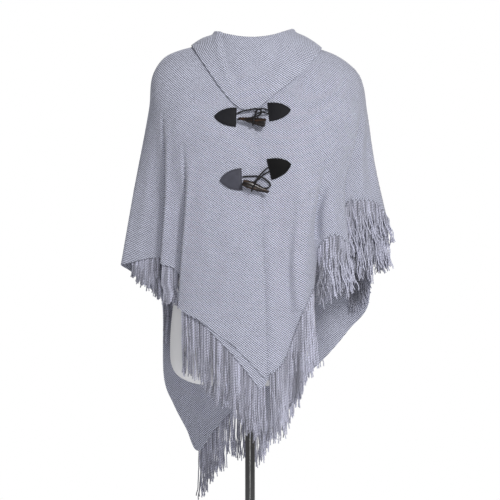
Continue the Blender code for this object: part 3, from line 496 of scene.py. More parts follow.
# ------------------------------------------------------------------ the dress form
# A limbless torso in a cover of pale jersey, closed at the neck. The knit rests on its shoulders, bust
# and upper back, a little clear of the cover.
REST_GAP = 0.6 * MM
REST_FROM = 1140 * MM
TORSO_X = 6 * MM
TORSO_LEAN = 0.034          # the form leans on its stand: its hips lie this share of the drop to the left
TORSO_SIDES = 112
TORSO_ROWS = 130
TORSO_SQUARENESS = 2.35     # 2 is an oval and more is squarer
JERSEY_TONES = (0.74, 0.74, 0.77), (0.84, 0.84, 0.86)
JERSEY_WALES = 190.0        # stitches in a metre across, and courses down
JERSEY_COURSES = 230.0
SEARCH_COLUMNS = 6          # to a line of the drape, in the search tree of the cloth
SEARCH_ROWS = 120
# Levels of the torso, from its foot to the neck cap, in mm.
Section = namedtuple("Section", "z half_width half_depth back")
TORSO = [Section(*row) for row in (
    # z    half_width half_depth back
    (662,       80,       56,    0),
    (667,      108,       76,    0),
    (682,      137,       96,    0),
    (704,      151,      106,    2),
    (735,      155,      110,    4),
    (790,      155,      110,    5),
    (850,      149,      106,    4),
    (915,      134,       95,    1),
    (985,      117,       85,   -2),
    (1050,     123,       90,   -4),
    (1110,     137,      102,   -9),
    (1165,     147,      107,  -12),
    (1215,     158,       96,   -6),
    (1262,     174,       86,    1),
    (1306,     188,       76,    5),
    (1338,     193,       66,    6),
    (1358,     184,       60,    6),
    (1373,     158,       52,    5),
    (1384,     120,       46,    6),
    (1390,      88,       42,    7),
    (1393,      62,       40,    7),
    (1399,      52,       38,    7),
)]


def cloth_tree():
    """The cloth's middle surface as a search tree."""
    columns = np.linspace(0, len(TURNS) - 1, SEARCH_COLUMNS * len(TURNS))
    turns = np.interp(columns, np.arange(len(TURNS)), TURNS)
    drops = np.linspace(0, HEM_DROP, SEARCH_ROWS)
    points = creased(drape(turns, drops)).reshape(-1, 3)
    return BVHTree.FromPolygons(points.tolist(), grid_faces(len(turns), len(drops)))


def held_off(point, clear, side):
    """The point, moved out (side 1) or in (side -1) until it is that clear of the cloth beside it."""
    near, normal, _, distance = cloth.find_nearest(Vector(point))
    normal = np.array(normal) * side
    gap = float(np.dot(point - np.array(near), normal))
    past_the_edge = distance > abs(gap) + 1 * MM
    return point if gap >= clear or past_the_edge else point + normal * (clear - gap)


def maths(tree, operation, *values):
    """The result of a maths node on numbers or sockets."""
    return add_node(tree, "ShaderNodeMath", dict(enumerate(values)), operation=operation).outputs[0]


def mixed(tree, share, first, second):
    """A colour between two colours."""
    made = add_node(tree, "ShaderNodeMix", {0: share}, data_type="RGBA")
    for socket, value in ((made.inputs[6], first), (made.inputs[7], second)):
        if isinstance(value, bpy.types.NodeSocket):
            tree.links.new(value, socket)
        else:
            socket.default_value = (*value, 1)
    return made.outputs[2]


cloth = cloth_tree()
jersey, tree, shader = new_material("pale_jersey", (0.6, 0.6, 0.63), 0.88, Sheen_Weight=0.2,
                                    Sheen_Roughness=0.4)
spot = object_place(tree)
wales, courses = [
    add_node(tree, "ShaderNodeTexWave", {
        "Vector": spot, "Scale": scale, "Distortion": 1.2, "Detail": 2.0,
    }, bands_direction=direction).outputs["Fac"]
    for scale, direction in ((JERSEY_WALES, "X"), (JERSEY_COURSES, "Z"))]
blotches = noise(tree, spot, 14.0, 5.0)
tree.links.new(mixed(tree, blotches, *JERSEY_TONES), shader.inputs["Base Color"])
bumped(tree, shader, maths(tree, "MULTIPLY", wales, courses), 0.35, 0.3 * MM)

sections = np.array(TORSO, float)
run = run_along(sections[:, :2])
fine = through(run, sections, np.linspace(0, run[-1], TORSO_ROWS))
turns = even_turns(TORSO_SIDES)
power = 2 / TORSO_SQUARENESS
across = np.sign(np.sin(turns)) * np.abs(np.sin(turns)) ** power
along = np.sign(np.cos(turns)) * np.abs(np.cos(turns)) ** power
points = []
for z, wide, deep, behind in fine:
    middle_x = TORSO_X - TORSO_LEAN * (TORSO[-1].z - z) * MM
    for side, fore in zip(across, along):
        point = np.array((middle_x + wide * side * MM, (behind - deep * fore) * MM, z * MM))
        below_the_cap = z < TORSO[-1].z - 0.5
        if below_the_cap and point[2] > REST_FROM:
            point = held_off(point, KNIT_WALL / 2 + REST_GAP, -1)
        points.append(point)
torso = add_piece("dress_form", points, ring_faces(TORSO_ROWS, TORSO_SIDES), jersey)
settle(torso, "form_cloth", "form_torso")


# ------------------------------------------------------------------ the two fronts and the back
# Three panels of thick moss-stitch knit in a grey-blue yarn, joined along the shoulders and arms. Each
# stitch is a small rise in the face of the cloth, and the back of the cloth is smoother. The hollows
# between the stitches are painted near black: painted shade.
STITCH = np.array((2.85, 2.4)) * MM   # across and down, from one stitch to the next: rise and hollow in turn
STITCH_RISE = 0.5 * MM
STITCH_STRAY = 2.4          # how far a stitch strays from its row and column, in radians
INNER_STITCHES = 3          # the inner face is smoother: one rise or hollow for this many stitches
# the first tone is painted shade in the hollows between stitches, the second the yarn's grey-blue
KNIT_SHADE_AND_YARN_TONES = (0.040, 0.041, 0.056), (0.655, 0.680, 0.830)
PANEL_GRID = (8, 7)         # columns of the flat pattern for each line, and rows for each unit of drop
FINE = 6                    # how much finer the drape is read than the flat pattern
SEAM_GAP = 0.3 * MM
EDGE_ROUNDING = 0.7 * MM
EDGE_REACH = 0.45           # a stitch this near the outline gives way to it, in stitches


def new_tree(name, kind, inputs, outputs):
    """A node tree with named inputs and outputs, and the sockets that bring its inputs in."""
    tree = bpy.data.node_groups.new(name, kind)
    for way, sockets in (("INPUT", inputs), ("OUTPUT", outputs)):
        for label, sort, *value in sockets:
            socket = tree.interface.new_socket(label, in_out=way, socket_type="NodeSocket" + sort)
            if value:
                socket.default_value = value[0]
    return tree, add_node(tree, "NodeGroupInput").outputs


def parts_of(tree, vector):
    """The X, Y and Z sockets of a vector or colour."""
    return add_node(tree, "ShaderNodeSeparateXYZ", {0: vector}).outputs


moss, given = new_tree("moss stitch", "ShaderNodeTree", [("Place", "Vector")],
                       [("Rise", "Float"), ("Fibres", "Float"), ("Drift", "Float")])
flat = parts_of(moss, given["Place"])
across = maths(moss, "MULTIPLY", flat["X"], math.pi / STITCH[0])
down = maths(moss, "MULTIPLY", flat["Y"], math.pi / STITCH[1])
uneven = add_node(moss, "ShaderNodeTexNoise", {"Vector": given["Place"], "Scale": 210.0, "Detail": 2.0})
uneven = parts_of(moss, uneven.outputs["Color"])
across = maths(moss, "MULTIPLY_ADD", uneven["X"], STITCH_STRAY, across)
down = maths(moss, "MULTIPLY_ADD", uneven["Y"], STITCH_STRAY, down)
main_wave = maths(moss, "COSINE", maths(moss, "ADD", across, down))
cross_wave = maths(moss, "COSINE", maths(moss, "SUBTRACT", across, down))
both = maths(moss, "MULTIPLY_ADD", main_wave, 0.36, maths(moss, "MULTIPLY", cross_wave, 0.20))
strength = maths(moss, "MULTIPLY_ADD", uneven["Z"], 1.4, 0.3)
rise = maths(moss, "MULTIPLY_ADD", both, strength, 0.5)
fibres = noise(moss, given["Place"], 1400.0, 3.0)
drift = noise(moss, given["Place"], 26.0, 4.0)
add_node(moss, "NodeGroupOutput", {"Rise": rise, "Fibres": fibres, "Drift": drift})


def scaled(tree, vector, factor):
    """A vector or colour times a number."""
    made = add_node(tree, "ShaderNodeVectorMath", {0: vector}, operation="SCALE")
    tree.links.new(factor, made.inputs["Scale"])
    return made.outputs[0]


knit, tree, shader = new_material("grey_blue_knit", KNIT_SHADE_AND_YARN_TONES[1], 0.9, Sheen_Weight=0.25,
                                  Sheen_Roughness=0.5)
place = add_node(tree, "ShaderNodeUVMap", uv_map="cloth").outputs[0]
stitch = add_node(tree, "ShaderNodeGroup", node_tree=moss)
tree.links.new(place, stitch.inputs["Place"])
stitch = stitch.outputs
shade = maths(tree, "MULTIPLY_ADD", stitch["Drift"], 0.24, 0.88)
hairs = maths(tree, "MULTIPLY_ADD", stitch["Fibres"], 0.3, 0.85)
# colour: painted shade in the stitches' hollows, the yarn's grey-blue on their rises, with random drift and
# fibres
tone = scaled(tree, mixed(tree, stitch["Rise"], *KNIT_SHADE_AND_YARN_TONES), maths(tree, "MULTIPLY", shade, hairs))
tree.links.new(tone, shader.inputs["Base Color"])
bumped(tree, shader, maths(tree, "MULTIPLY_ADD", stitch["Fibres"], 0.35, stitch["Rise"]), 1.0, 0.7 * MM)


def flat_pattern(points, centre_column):
    """The flat places of a grid of points, as the panel was cut: metres from its centre line and down."""
    across, down = points.shape[:2]
    sample = bpy.data.objects.new("pattern", bpy.data.meshes.new("pattern"))
    sample.data.from_pydata(points.reshape(-1, 3).tolist(), [], grid_faces(across, down))
    scene.collection.objects.link(sample)
    bpy.context.view_layer.objects.active = sample
    sample.select_set(True)
    sample.data.uv_layers.new(name="flat")
    bpy.ops.object.mode_set(mode="EDIT")
    bpy.ops.mesh.select_all(action="SELECT")
    bpy.ops.uv.unwrap(method="MINIMUM_STRETCH", margin=0.0, correct_aspect=False)
    bpy.ops.object.mode_set(mode="OBJECT")
    corners = corner_points(sample.data)
    layer = np.zeros(len(corners) * 2, np.float32)
    sample.data.uv_layers["flat"].data.foreach_get("uv", layer)
    flat = np.zeros((across * down, 2))
    flat[corners] = layer.reshape(-1, 2)
    flat = flat.reshape(across, down, 2)
    bpy.data.objects.remove(sample)
    real = np.linalg.norm(np.diff(points, axis=1), axis=2).sum()
    drawn = np.linalg.norm(np.diff(flat, axis=1), axis=2).sum()
    flat *= real / drawn
    plumb = unit(flat[centre_column, -1] - flat[centre_column, 0])
    level = np.array((plumb[1], -plumb[0]))
    middle = flat[centre_column].mean(axis=0)
    return np.stack(((flat - middle) @ level, (flat - middle) @ plumb), axis=2)


def read_grid(grid, places):
    """Values of a grid of points at fractional columns and rows."""
    low = np.clip(np.floor(places).astype(int), 0, np.array(grid.shape[:2]) - 2)
    share = (places - low)[..., None]
    a, b = low[:, 0], low[:, 1]
    first = grid[a, b] * (1 - share[:, 1]) + grid[a, b + 1] * share[:, 1]
    second = grid[a + 1, b] * (1 - share[:, 1]) + grid[a + 1, b + 1] * share[:, 1]
    return first * (1 - share[:, 0]) + second * share[:, 0]


def lattice_places(flat, pitch):
    """Fractional columns and rows of a flat pattern at every place of a square lattice inside it."""
    low = np.floor(flat.min(axis=(0, 1)) / pitch).astype(int)
    size = np.ceil(flat.max(axis=(0, 1)) / pitch).astype(int) - low + 1
    found = np.full((*size, 2), np.nan)
    marks = flat / pitch - low
    for a in range(flat.shape[0] - 1):
        for b in range(flat.shape[1] - 1):
            for corners in (((a, b), (a + 1, b), (a + 1, b + 1)), ((a, b), (a + 1, b + 1), (a, b + 1))):
                one, two, three = (marks[corner] for corner in corners)
                first = np.ceil(np.minimum(np.minimum(one, two), three) - 1e-9).astype(int)
                last = np.floor(np.maximum(np.maximum(one, two), three) + 1e-9).astype(int)
                if (last < first).any():
                    continue
                xs, ys = np.meshgrid(np.arange(first[0], last[0] + 1), np.arange(first[1], last[1] + 1),
                                     indexing="ij")
                here = np.stack((xs.ravel(), ys.ravel()), axis=1)
                sides = np.array((two - one, three - one)).T
                if abs(np.linalg.det(sides)) < 1e-12:
                    continue
                shares = np.linalg.solve(sides, (here - one).T).T
                inside = (shares >= -1e-6).all(axis=1) & (shares.sum(axis=1) <= 1 + 1e-6)
                weights = np.column_stack((1 - shares.sum(axis=1), shares))[inside]
                chosen = here[inside]
                found[chosen[:, 0], chosen[:, 1]] = weights @ np.array(corners, float)
    return low, found


def outline_places(flat, pitch):
    """Fractional columns and rows along a flat pattern's outline, about a pitch apart."""
    across, down = flat.shape[:2]
    corners = ((0, 0), (0, down - 1), (across - 1, down - 1), (across - 1, 0), (0, 0))
    places = []
    for start, end in zip(corners, corners[1:]):
        steps = max(abs(end[0] - start[0]), abs(end[1] - start[1]))
        side = np.array(start) + np.outer(np.arange(steps + 1) / steps, np.subtract(end, start))
        whole = side.astype(int)
        run = run_along(flat[whole[:, 0], whole[:, 1]])
        marks = np.linspace(0, run[-1], max(round(run[-1] / pitch), 2), endpoint=False)
        places.append(read_line(marks, run, side))
    return np.concatenate(places)


def stitched_face(flat, outline, pitch):
    """Places and faces that fill a flat pattern: the outline first, then a lattice of stitches."""
    low, found = lattice_places(flat, pitch)
    edge = read_grid(flat, outline) / pitch
    ahead = np.roll(edge, -1, axis=0) - edge
    fine_edge = np.concatenate([edge + ahead * share for share in (0, 0.25, 0.5, 0.75)])
    kept = ~np.isnan(found[..., 0])
    for step in ((0, 0), (0, 1), (1, 0), (1, 1)):
        near = np.floor(fine_edge).astype(int) + step
        close = np.linalg.norm(near - fine_edge, axis=1) < EDGE_REACH
        index = np.clip((near - low)[close], 0, np.array(kept.shape) - 1)
        kept[index[:, 0], index[:, 1]] = False
    full = kept[:-1, :-1] & kept[1:, :-1] & kept[1:, 1:] & kept[:-1, 1:]
    number = np.full(kept.shape, -1)
    number[kept] = np.arange(kept.sum()) + len(outline)
    a, b = np.nonzero(full)
    quads = np.stack((number[a, b], number[a + 1, b], number[a + 1, b + 1], number[a, b + 1]), axis=1)
    padded = np.pad(full, 1)
    hemmed = padded[:-1, :-1] & padded[1:, :-1] & padded[1:, 1:] & padded[:-1, 1:]
    loose = kept & ~hemmed
    places = np.concatenate((outline, found[kept]))
    marks = np.concatenate((edge, np.argwhere(kept) + low))
    used = np.concatenate((np.arange(len(outline)), number[loose]))
    back = {int(old): new for new, old in enumerate(used)}
    rim = [(i, (i + 1) % len(outline)) for i in range(len(outline))]
    counts = {}
    for quad in quads[np.isin(quads, number[loose]).any(axis=1)].tolist():
        for i, j in zip(quad, quad[1:] + quad[:1]):
            if i in back and j in back:
                key = (min(i, j), max(i, j))
                counts[key] = counts.get(key, 0) + 1
    rim += [(back[i], back[j]) for (i, j), count in counts.items() if count == 1]
    vertices = [Vector(mark) for mark in marks[used]]
    _, _, triangles, originals, _, _ = geometry.delaunay_2d_cdt(vertices, rim, [], 1, 1e-6)
    faces = quads.tolist()
    for triangle in triangles:
        corners = [int(used[originals[corner][0]]) for corner in triangle]
        cell = np.floor(marks[corners].mean(axis=0)).astype(int) - low
        in_lattice = (cell >= 0).all() and (cell < full.shape).all()
        if not (in_lattice and full[cell[0], cell[1]]):
            faces.append(corners)
    return places, marks, faces


def stitched_panel(name, flat, middle, seam_first, seam_last):
    """A panel of the knit: its flat pattern, filled with stitches, laid on a finer grid of places."""
    normals = grid_normals(middle)
    if seam_first:
        middle[0] += unit(middle[1] - middle[0]) * SEAM_GAP / 2
    if seam_last:
        middle[-1] += unit(middle[-2] - middle[-1]) * SEAM_GAP / 2
    outline = outline_places(flat, STITCH[1])
    points, faces, flat_places = [], [], []
    count = 0
    for side, pitch, rise in ((1, STITCH, STITCH_RISE), (-1, INNER_STITCHES * STITCH, 0)):
        places, marks, filled = stitched_face(flat, outline, pitch)
        raised = np.where(np.round(marks).sum(axis=1) % 2 == 0, rise, -rise)
        raised[:len(outline)] = 0
        on = read_grid(middle, places * FINE)
        out = unit(read_grid(normals, places * FINE))
        points.append(on + out * (side * KNIT_WALL / 2 + raised)[:, None])
        flat_places.append(marks * pitch)
        for face in filled:
            flipped = face if (signed_area(marks[face]) > 0) == (side > 0) else face[::-1]
            faces.append([corner + count for corner in flipped])
        count += len(places)
    n, inner = len(outline), len(points[0])
    on = read_grid(middle, outline * FINE)
    outwards = np.roll(on, -1, axis=0) - np.roll(on, 1, axis=0)
    out = unit(read_grid(normals, outline * FINE))
    points.append(on + unit(np.cross(outwards, out)) * EDGE_ROUNDING)
    flat_places.append(read_grid(flat, outline))
    for i in range(n):
        j = (i + 1) % n
        faces += [[i, j, count + j, count + i], [count + i, count + j, inner + j, inner + i]]
    panel = add_piece(name, np.concatenate(points), faces, knit, places=np.concatenate(flat_places))
    across, down = flat.shape[0] - 1, flat.shape[1] - 1
    area = float(sum(abs(signed_area(flat[[a, a + 1, a + 1, a], [b, b, b + 1, b + 1]]))
                     for a in range(across) for b in range(down)))
    width, length = np.ptp(flat, axis=(0, 1)).tolist()
    return panel, (width, length), area


def add_panel(name, first, last, centre_turn, seam_first, seam_last):
    """One panel of the poncho, cut flat, covered with stitches and hung in its folds."""
    start, end = turn_of(first), turn_of(last)
    lines = TURNS[(TURNS >= start) & (TURNS <= end)]
    steps = (len(lines) - 1) * PANEL_GRID[0] // 2
    turns = np.interp(np.linspace(0, len(lines) - 1, steps + 1), np.arange(len(lines)), lines)
    drops = np.linspace(0, HEM_DROP, round(HEM_DROP * PANEL_GRID[1]) + 1)
    flat = flat_pattern(drape(turns, drops), int(np.abs(turns - centre_turn).argmin()))
    fine_turns = np.interp(np.linspace(0, len(turns) - 1, (len(turns) - 1) * FINE + 1),
                           np.arange(len(turns)), turns)
    fine_drops = np.linspace(0, HEM_DROP, (len(drops) - 1) * FINE + 1)
    return stitched_panel(name, flat, creased(drape(fine_turns, fine_drops)), seam_first, seam_last)


def signed_area(corners):
    """A flat polygon's area, below 0 where its corners run the other way round."""
    x, y = np.asarray(corners)[:, 0], np.asarray(corners)[:, 1]
    return float((x * np.roll(y, -1) - np.roll(x, -1) * y).sum() / 2)


for name, first, last, centre_turn, seams in (
        ("front_left", "left_front_edge", "left_seam", 0, (False, True)),
        ("back", "left_seam", "right_seam", 180, (True, True)),
        ("front_right", "right_seam", "right_front_edge", 360, (True, False))):
    panel, cut, area = add_panel(name + "_knit", first, last, centre_turn, *seams)
    settle(panel, "knit", name)


# ------------------------------------------------------------------ the shawl collar
# One knitted band, sewn to the neck edge. It stands up to its rim, folds over there, and its free edge
# lies on the shoulders and meets in a point above the upper toggle.
COLLAR_COLUMNS = 72         # of its flat pattern
COLLAR_ROWS = 28
COLLAR_CROWDING = 20        # degrees by which the columns move towards the point of the neck's vee
SECTION_STEPS = 160
COLLAR_SEAM_GAP = 0.8 * MM
VEE_SEAM_GAP = 2.8 * MM
VEE_SEAM_REACH = 24
RIM = Ring(9, 84, 68, 66, 1398, 1422, 1414, 2.0)
RIM_TILT = 2.5 * MM
RIM_HALF_FOLD = 6 * MM
RIM_FOLD_DROP = 7.2 * MM
# How far down from the neck to the shoulder ring the collar's free edge lies: turn and share.
FALLS = ((-180, 0.80), (-100, 0.71), (-70, 0.73), (-45, 0.70), (-30, 0.62), (-15, 0.54), (0, 0.60),
         (12, 0.66), (30, 0.605), (50, 0.55), (90, 0.53), (120, 0.58), (180, 0.80))
FALL_OFFSET = 4.2 * MM
FALL_BULGE = 2.5 * MM


def upper_drape(turn, share):
    """A point of the cloth near the neck: share is 0 at the neck seam and 1 at the shoulder ring."""
    points = [ring_point(ring, turn) for ring in RINGS]
    return through(DROPS[:len(RINGS)], points, [share * DROPS[1]])[0]


def upper_normal(turn, share):
    """The outward normal of the cloth near the neck."""
    small = 0.01
    down = upper_drape(turn, share + small) - upper_drape(turn, share)
    around = upper_drape(turn + 1, share) - upper_drape(turn - 1, share)
    return unit(np.cross(around, down))


def fall_share(turn):
    """How far down the shoulder the collar's free edge lies at this turn."""
    turns, shares = zip(*FALLS)
    return float(through(turns, shares, [turn])[0])


def seam_step(turn, towards):
    """The step from the panels' neck edge to the collar's lower edge, which leaves it at an angle."""
    along = unit(upper_drape(turn + 1, 0) - upper_drape(turn - 1, 0))
    down = unit(upper_drape(turn, 0.05) - upper_drape(turn, 0))
    up = unit(towards - upper_drape(turn, 0))
    level_down = unit(down - along * np.dot(down, along))
    level_up = up - along * np.dot(up, along)
    in_line = -float(np.dot(level_down, unit(level_up)))
    turned_by = math.sqrt(1 - in_line ** 2)
    half = KNIT_WALL / 2
    gap = COLLAR_SEAM_GAP + VEE_SEAM_GAP * max(math.cos(math.radians(turn)), 0) ** VEE_SEAM_REACH
    over_the_face = (gap + half * (1 - in_line)) / max(turned_by, 0.01)
    past_the_end = (gap + half * turned_by) / max(in_line, 0.01)
    return up * min(past_the_end, over_the_face) / np.linalg.norm(level_up)


def collar_section(turn):
    """The collar's wall from the neck seam, up over the rim and down to the free edge, at even steps."""
    across, along = math.sin(math.radians(turn)), math.cos(math.radians(turn))
    out = np.array((-across, -along, 0))
    seam = upper_drape(turn, 0)
    rim = ring_point(RIM, turn) - (0, 0, RIM_TILT * across + KNIT_WALL / 2)
    drop = (0, 0, RIM_FOLD_DROP)
    inner = rim - out * RIM_HALF_FOLD - drop
    root = seam + seam_step(turn, inner)
    outer = rim + out * RIM_HALF_FOLD - drop
    share = fall_share(turn)
    normal = upper_normal(turn, share)
    edge = upper_drape(turn, share) + normal * FALL_OFFSET
    swell = normal * FALL_BULGE
    near_rim = outer + (edge - outer) / 3 + swell
    near_edge = outer + (edge - outer) * 2 / 3 + swell
    points = np.array((root, inner, rim, outer, near_rim, near_edge, edge))
    lengths = np.linalg.norm(np.diff(points, axis=0), axis=1)
    knots = np.append(0, np.cumsum(np.sqrt(lengths)))
    curve = through(knots, points, np.linspace(0, knots[-1], SECTION_STEPS))
    return run_along(curve), curve


def collar_grid(columns, rows):
    """Places of the collar, from its centre back round the wearer's right to the centre back again."""
    turns = np.linspace(-180, 180, columns)
    turns = turns - COLLAR_CROWDING * np.sin(np.radians(turns))
    found = []
    for turn in turns:
        run, curve = collar_section(turn)
        found.append(read_line(np.linspace(0, run[-1], rows), run, curve))
    return np.array(found)


def collar_crease(crease):
    """A soft crease of the collar. Its drops are 0 at the rim and 1 at the free edge."""
    line = []
    for share in CREASE_STEPS:
        run, curve = collar_section(crease.turn + (crease.last_turn - crease.turn) * share)
        rim = run[curve[:, 2].argmax()]
        drop = crease.drop + (crease.last_drop - crease.drop) * share
        line.append(read_line([rim + (run[-1] - rim) * drop], run, curve)[0])
    return crease, np.array(line)


COLLAR_CREASES = [collar_crease(Crease(*row)) for row in (
    #  turn  drop to turn  drop height reach
    (  66.0, 0.02,   11.0, 0.98,   3.0,  7.0),
    (  56.0, 0.02,    4.0, 0.90,  -2.2,  9.0),
    ( -52.0, 0.02,  -20.0, 0.90,   1.8,  8.0),
    ( -38.0, 0.02,  -10.0, 0.80,  -1.2,  9.0),
    ( 120.0, 0.05,  140.0, 0.95,   1.6, 10.0),
    (-115.0, 0.05, -140.0, 0.95,   1.6, 10.0),
)]
flat = flat_pattern(collar_grid(COLLAR_COLUMNS + 1, COLLAR_ROWS + 1), COLLAR_COLUMNS // 2)
middle = creased(collar_grid(COLLAR_COLUMNS * FINE + 1, COLLAR_ROWS * FINE + 1), COLLAR_CREASES)
collar, cut, area = stitched_panel("shawl_collar", flat, middle, True, True)
settle(collar, "knit", "collar")


# ------------------------------------------------------------------ the hem band
# A knitted strip, sewn inside the left front's hem. It shows below the hem towards the middle, and the
# left front's fringe hangs from it.
BAND_COLUMNS, BAND_ROWS = 40, 12     # of its flat pattern
BAND_FIRST_TURN = -1.2
BAND_LAST_TURN = 27
BAND_DEEPEST_TURN = 1.2
BAND_SHOWS = 34 * MM
BAND_SHOWS_LEAST = 3 * MM
BAND_TOP_DROP = 5.65
LAY_GAP = 0.5 * MM
BAND_OFFSET = KNIT_WALL + LAY_GAP


def band_shows(turn):
    """How far the hem band shows below the left front's hem."""
    if turn > BAND_LAST_TURN:
        return 0.0
    if turn > BAND_DEEPEST_TURN:
        share = (BAND_LAST_TURN - turn) / (BAND_LAST_TURN - BAND_DEEPEST_TURN)
    else:
        share = (turn - TURNS[0]) / (BAND_DEEPEST_TURN - TURNS[0])
    return BAND_SHOWS_LEAST + (BAND_SHOWS - BAND_SHOWS_LEAST) * share


def drape_normals(turns, drops):
    """The outward normals of the drape, for every turn and every drop."""
    turns, drops = np.asarray(turns, float), np.asarray(drops, float)
    small = 0.02
    turn_ends = np.maximum(turns - small, TURNS[0]), np.minimum(turns + small, TURNS[-1])
    drop_ends = np.maximum(drops - small, 0), np.minimum(drops + small, HEM_DROP)
    around = drape(turn_ends[1], drops) - drape(turn_ends[0], drops)
    down = drape(turns, drop_ends[1]) - drape(turns, drop_ends[0])
    return unit(np.cross(around, down))


def band_grid(columns, rows):
    """Places of the band, from its end at the side to its end at the front edge."""
    turns = np.linspace(BAND_FIRST_TURN, BAND_LAST_TURN, columns)
    drops = np.linspace(BAND_TOP_DROP, HEM_DROP, 12)
    upper = drape(turns, drops) - drape_normals(turns, drops) * BAND_OFFSET
    found = []
    for column, turn in zip(upper, turns):
        path = np.concatenate((column, [column[-1] - (0, 0, band_shows(turn))]))
        run = run_along(path)
        found.append(read_line(np.linspace(0, run[-1], rows), run, path))
    return np.array(found)


flat = flat_pattern(band_grid(BAND_COLUMNS + 1, BAND_ROWS + 1), 0)
middle = band_grid(BAND_COLUMNS * FINE + 1, BAND_ROWS * FINE + 1)
band, cut, area = stitched_panel("hem_band_knit", flat, middle, False, False)
settle(band, "knit", "hem_band")


# ------------------------------------------------------------------ the fringe
# Tufts of the same yarn, each knotted through a narrow knitted tape that is sewn along the edge: inside
# the left front's hem and outside the right one, on the sleeves, and on the outer face of the back.
TAPE_HEIGHT = 7 * MM
TAPE_WALL = 2.0 * MM
TUFT_SHARE = 0.62           # how much of its pitch a tuft takes up at the tape
TUFT_LEVELS = 9             # points of a tuft's line below its knot
TUFT_SWAY = 2.5 * MM
TUFT_CLEAR = 3.2 * MM       # between a tuft's middle and the cloth
TUFT_LIFT = 2.4 * MM        # more of it where a tuft starts above the hem
TUFT_REACH = 0.62           # how far a tuft's yarns spread to either side, in pitches
TUFT_MOST_PUSH = 7 * MM     # the furthest that a tuft is moved to be clear of the cloth
TUFT_ASIDE_RISE = 0.3       # how much of the edge's slope the yarns of a tuft follow
KNOT = (2.3 * MM, 1.7 * MM, 2.6 * MM)
YARN_RADIUS = 1.2 * MM
YARN_SIDES = 5
YARN_POINTS = 17            # along each yarn
# the first tone is painted shade in the grooves between the plies, the second the yarn's colour
YARN_SHADE_AND_COLOUR_TONES = (0.12, 0.122, 0.16), (0.60, 0.61, 0.745)
PLY_PITCH = 5.5 * MM
# sewn_to is the hem, the hem band, the line across the back, or a drop of its own. first and last are
# turns, and side is 1 outside the cloth and -1 inside it. In mm: the gap from the cloth to the tape, the
# lengths of the tufts, evenly spaced from the first to the last, and how far yarns crimp and lean.
Fringe = namedtuple("Fringe", "name node sewn_to first last side tufts yarns gap lengths crimp lean")
FRINGES = [Fringe(*row) for row in (
    # name             node                   sewn_to first   last side tufts yarns gap
    #                  lengths                             crimp lean
    ("left_front",     "fringe_front_left",   "band",  -0.6,  36.0,  -1,  28,  8,  0.5,
                       (118, 124, 136, 128),                  13,   5),
    ("left_pleat",     "fringe_left_pleat",   "hem",   45.8,  53.5,  -1,   5, 11,  0.7, (80, 82), 9, 3),
    ("left_sleeve",    "fringe_left_sleeve",  "hem",   64.5,  80.0,  -1,   9, 12,  0.7,
                       (88, 62, 34),                          20,   7),
    ("left_shaded",    None,                  5.7,    126.0, 134.5,  -1,   5, 10,  0.7, (34, 60), 8, 4),
    ("back",           "fringe_back",         "back", 160.8, 260.0,   1,  51,  9,  1.2,
                       (112, 112, 112, 112, 108, 60, 24),     14,   7),
    ("right_hanging",  "fringe_back_inner",   4.95,   224.0, 243.0,  -1,  11, 10,  0.7,
                       (108, 116, 104),                       20,  12),
    ("right_inner",    "fringe_right_sleeve", "hem",  258.0, 288.0,  -1,  17, 10,  0.7,
                       (62, 92, 130, 168, 180),               28,  14),
    ("right_sleeve",   "fringe_right_sleeve", 6.14,   271.0, 289.5,   1,  14,  9,  0.7,
                       (56, 76, 100, 116),                    32,  18),
    ("right_drape",    "fringe_right_drape",  6.14,   297.5, 318.0,   1,  10,  9,  0.7,
                       (112, 128, 122),                       34,  20),
    ("right_front",    "fringe_front_right",  6.14,   327.0, 355.0,   1,  26,  9,  0.7,
                       (158, 148, 140),                       20,   8),
)]
BACK_FRINGE_LINE = (
    # line      drop
    ("back_8",  6.20),
    ("back_11", 6.20),
    ("back_12", 5.95),
    ("back_13", 5.50),
    ("back_14", 5.30),
    ("back_16", 5.20),
    ("back_17", 5.20),
    ("back_18", 5.55),
    ("back_19", 5.90),
    ("back_20", 6.20),
)


def fringe_drop(fringe, turns):
    """The drop at which a fringe is sewn on, for each turn."""
    if fringe.sewn_to in ("hem", "band"):
        return np.full(len(turns), HEM_DROP)
    if fringe.sewn_to != "back":
        return np.full(len(turns), fringe.sewn_to)
    known = [turn_of(name) for name, _ in BACK_FRINGE_LINE]
    return np.interp(turns, known, [drop for _, drop in BACK_FRINGE_LINE])


def sewn_edge(fringe, turns):
    """The middle of a fringe's tape along its lower edge, the way up the cloth and the way out of it."""
    drops = fringe_drop(fringe, turns)
    roots, ups, outs = [], [], []
    for turn, drop in zip(turns, drops):
        point = on_cloth = drape_at(turn, drop)
        normal = drape_normals([turn], [drop])[0, 0]
        offset = (KNIT_WALL + TAPE_WALL) / 2 + fringe.gap * MM
        if fringe.sewn_to == "band":
            point = point - (0, 0, band_shows(turn))
            offset += BAND_OFFSET
        roots.append(point + normal * offset * fringe.side)
        ups.append(unit(drape_at(turn, drop - 0.15) - on_cloth))
        outs.append(normal)
    return np.array(roots), np.array(ups), np.array(outs)


def hung(turn, drop, length):
    """The way from a point of the cloth down its line, or plumb below the hem, by that length."""
    line = drape([turn], np.linspace(drop, HEM_DROP, 12))[0]
    fallen = line[0, 2] - line[:, 2]
    beyond = max(length - fallen[-1], 0)
    place = np.array([np.interp(length, fallen, line[:, axis]) for axis in range(3)])
    return place - line[0] - (0, 0, beyond)


def tuft_turns(fringe):
    """Turns of the middles of the tufts, evenly pitched along the edge."""
    turns = np.linspace(fringe.first, fringe.last, 200)
    roots, _, _ = sewn_edge(fringe, turns)
    run = run_along(roots)
    pitch = run[-1] / (fringe.tufts - 1 + TUFT_SHARE)
    return np.interp((np.arange(fringe.tufts) + TUFT_SHARE / 2) * pitch, run, turns)


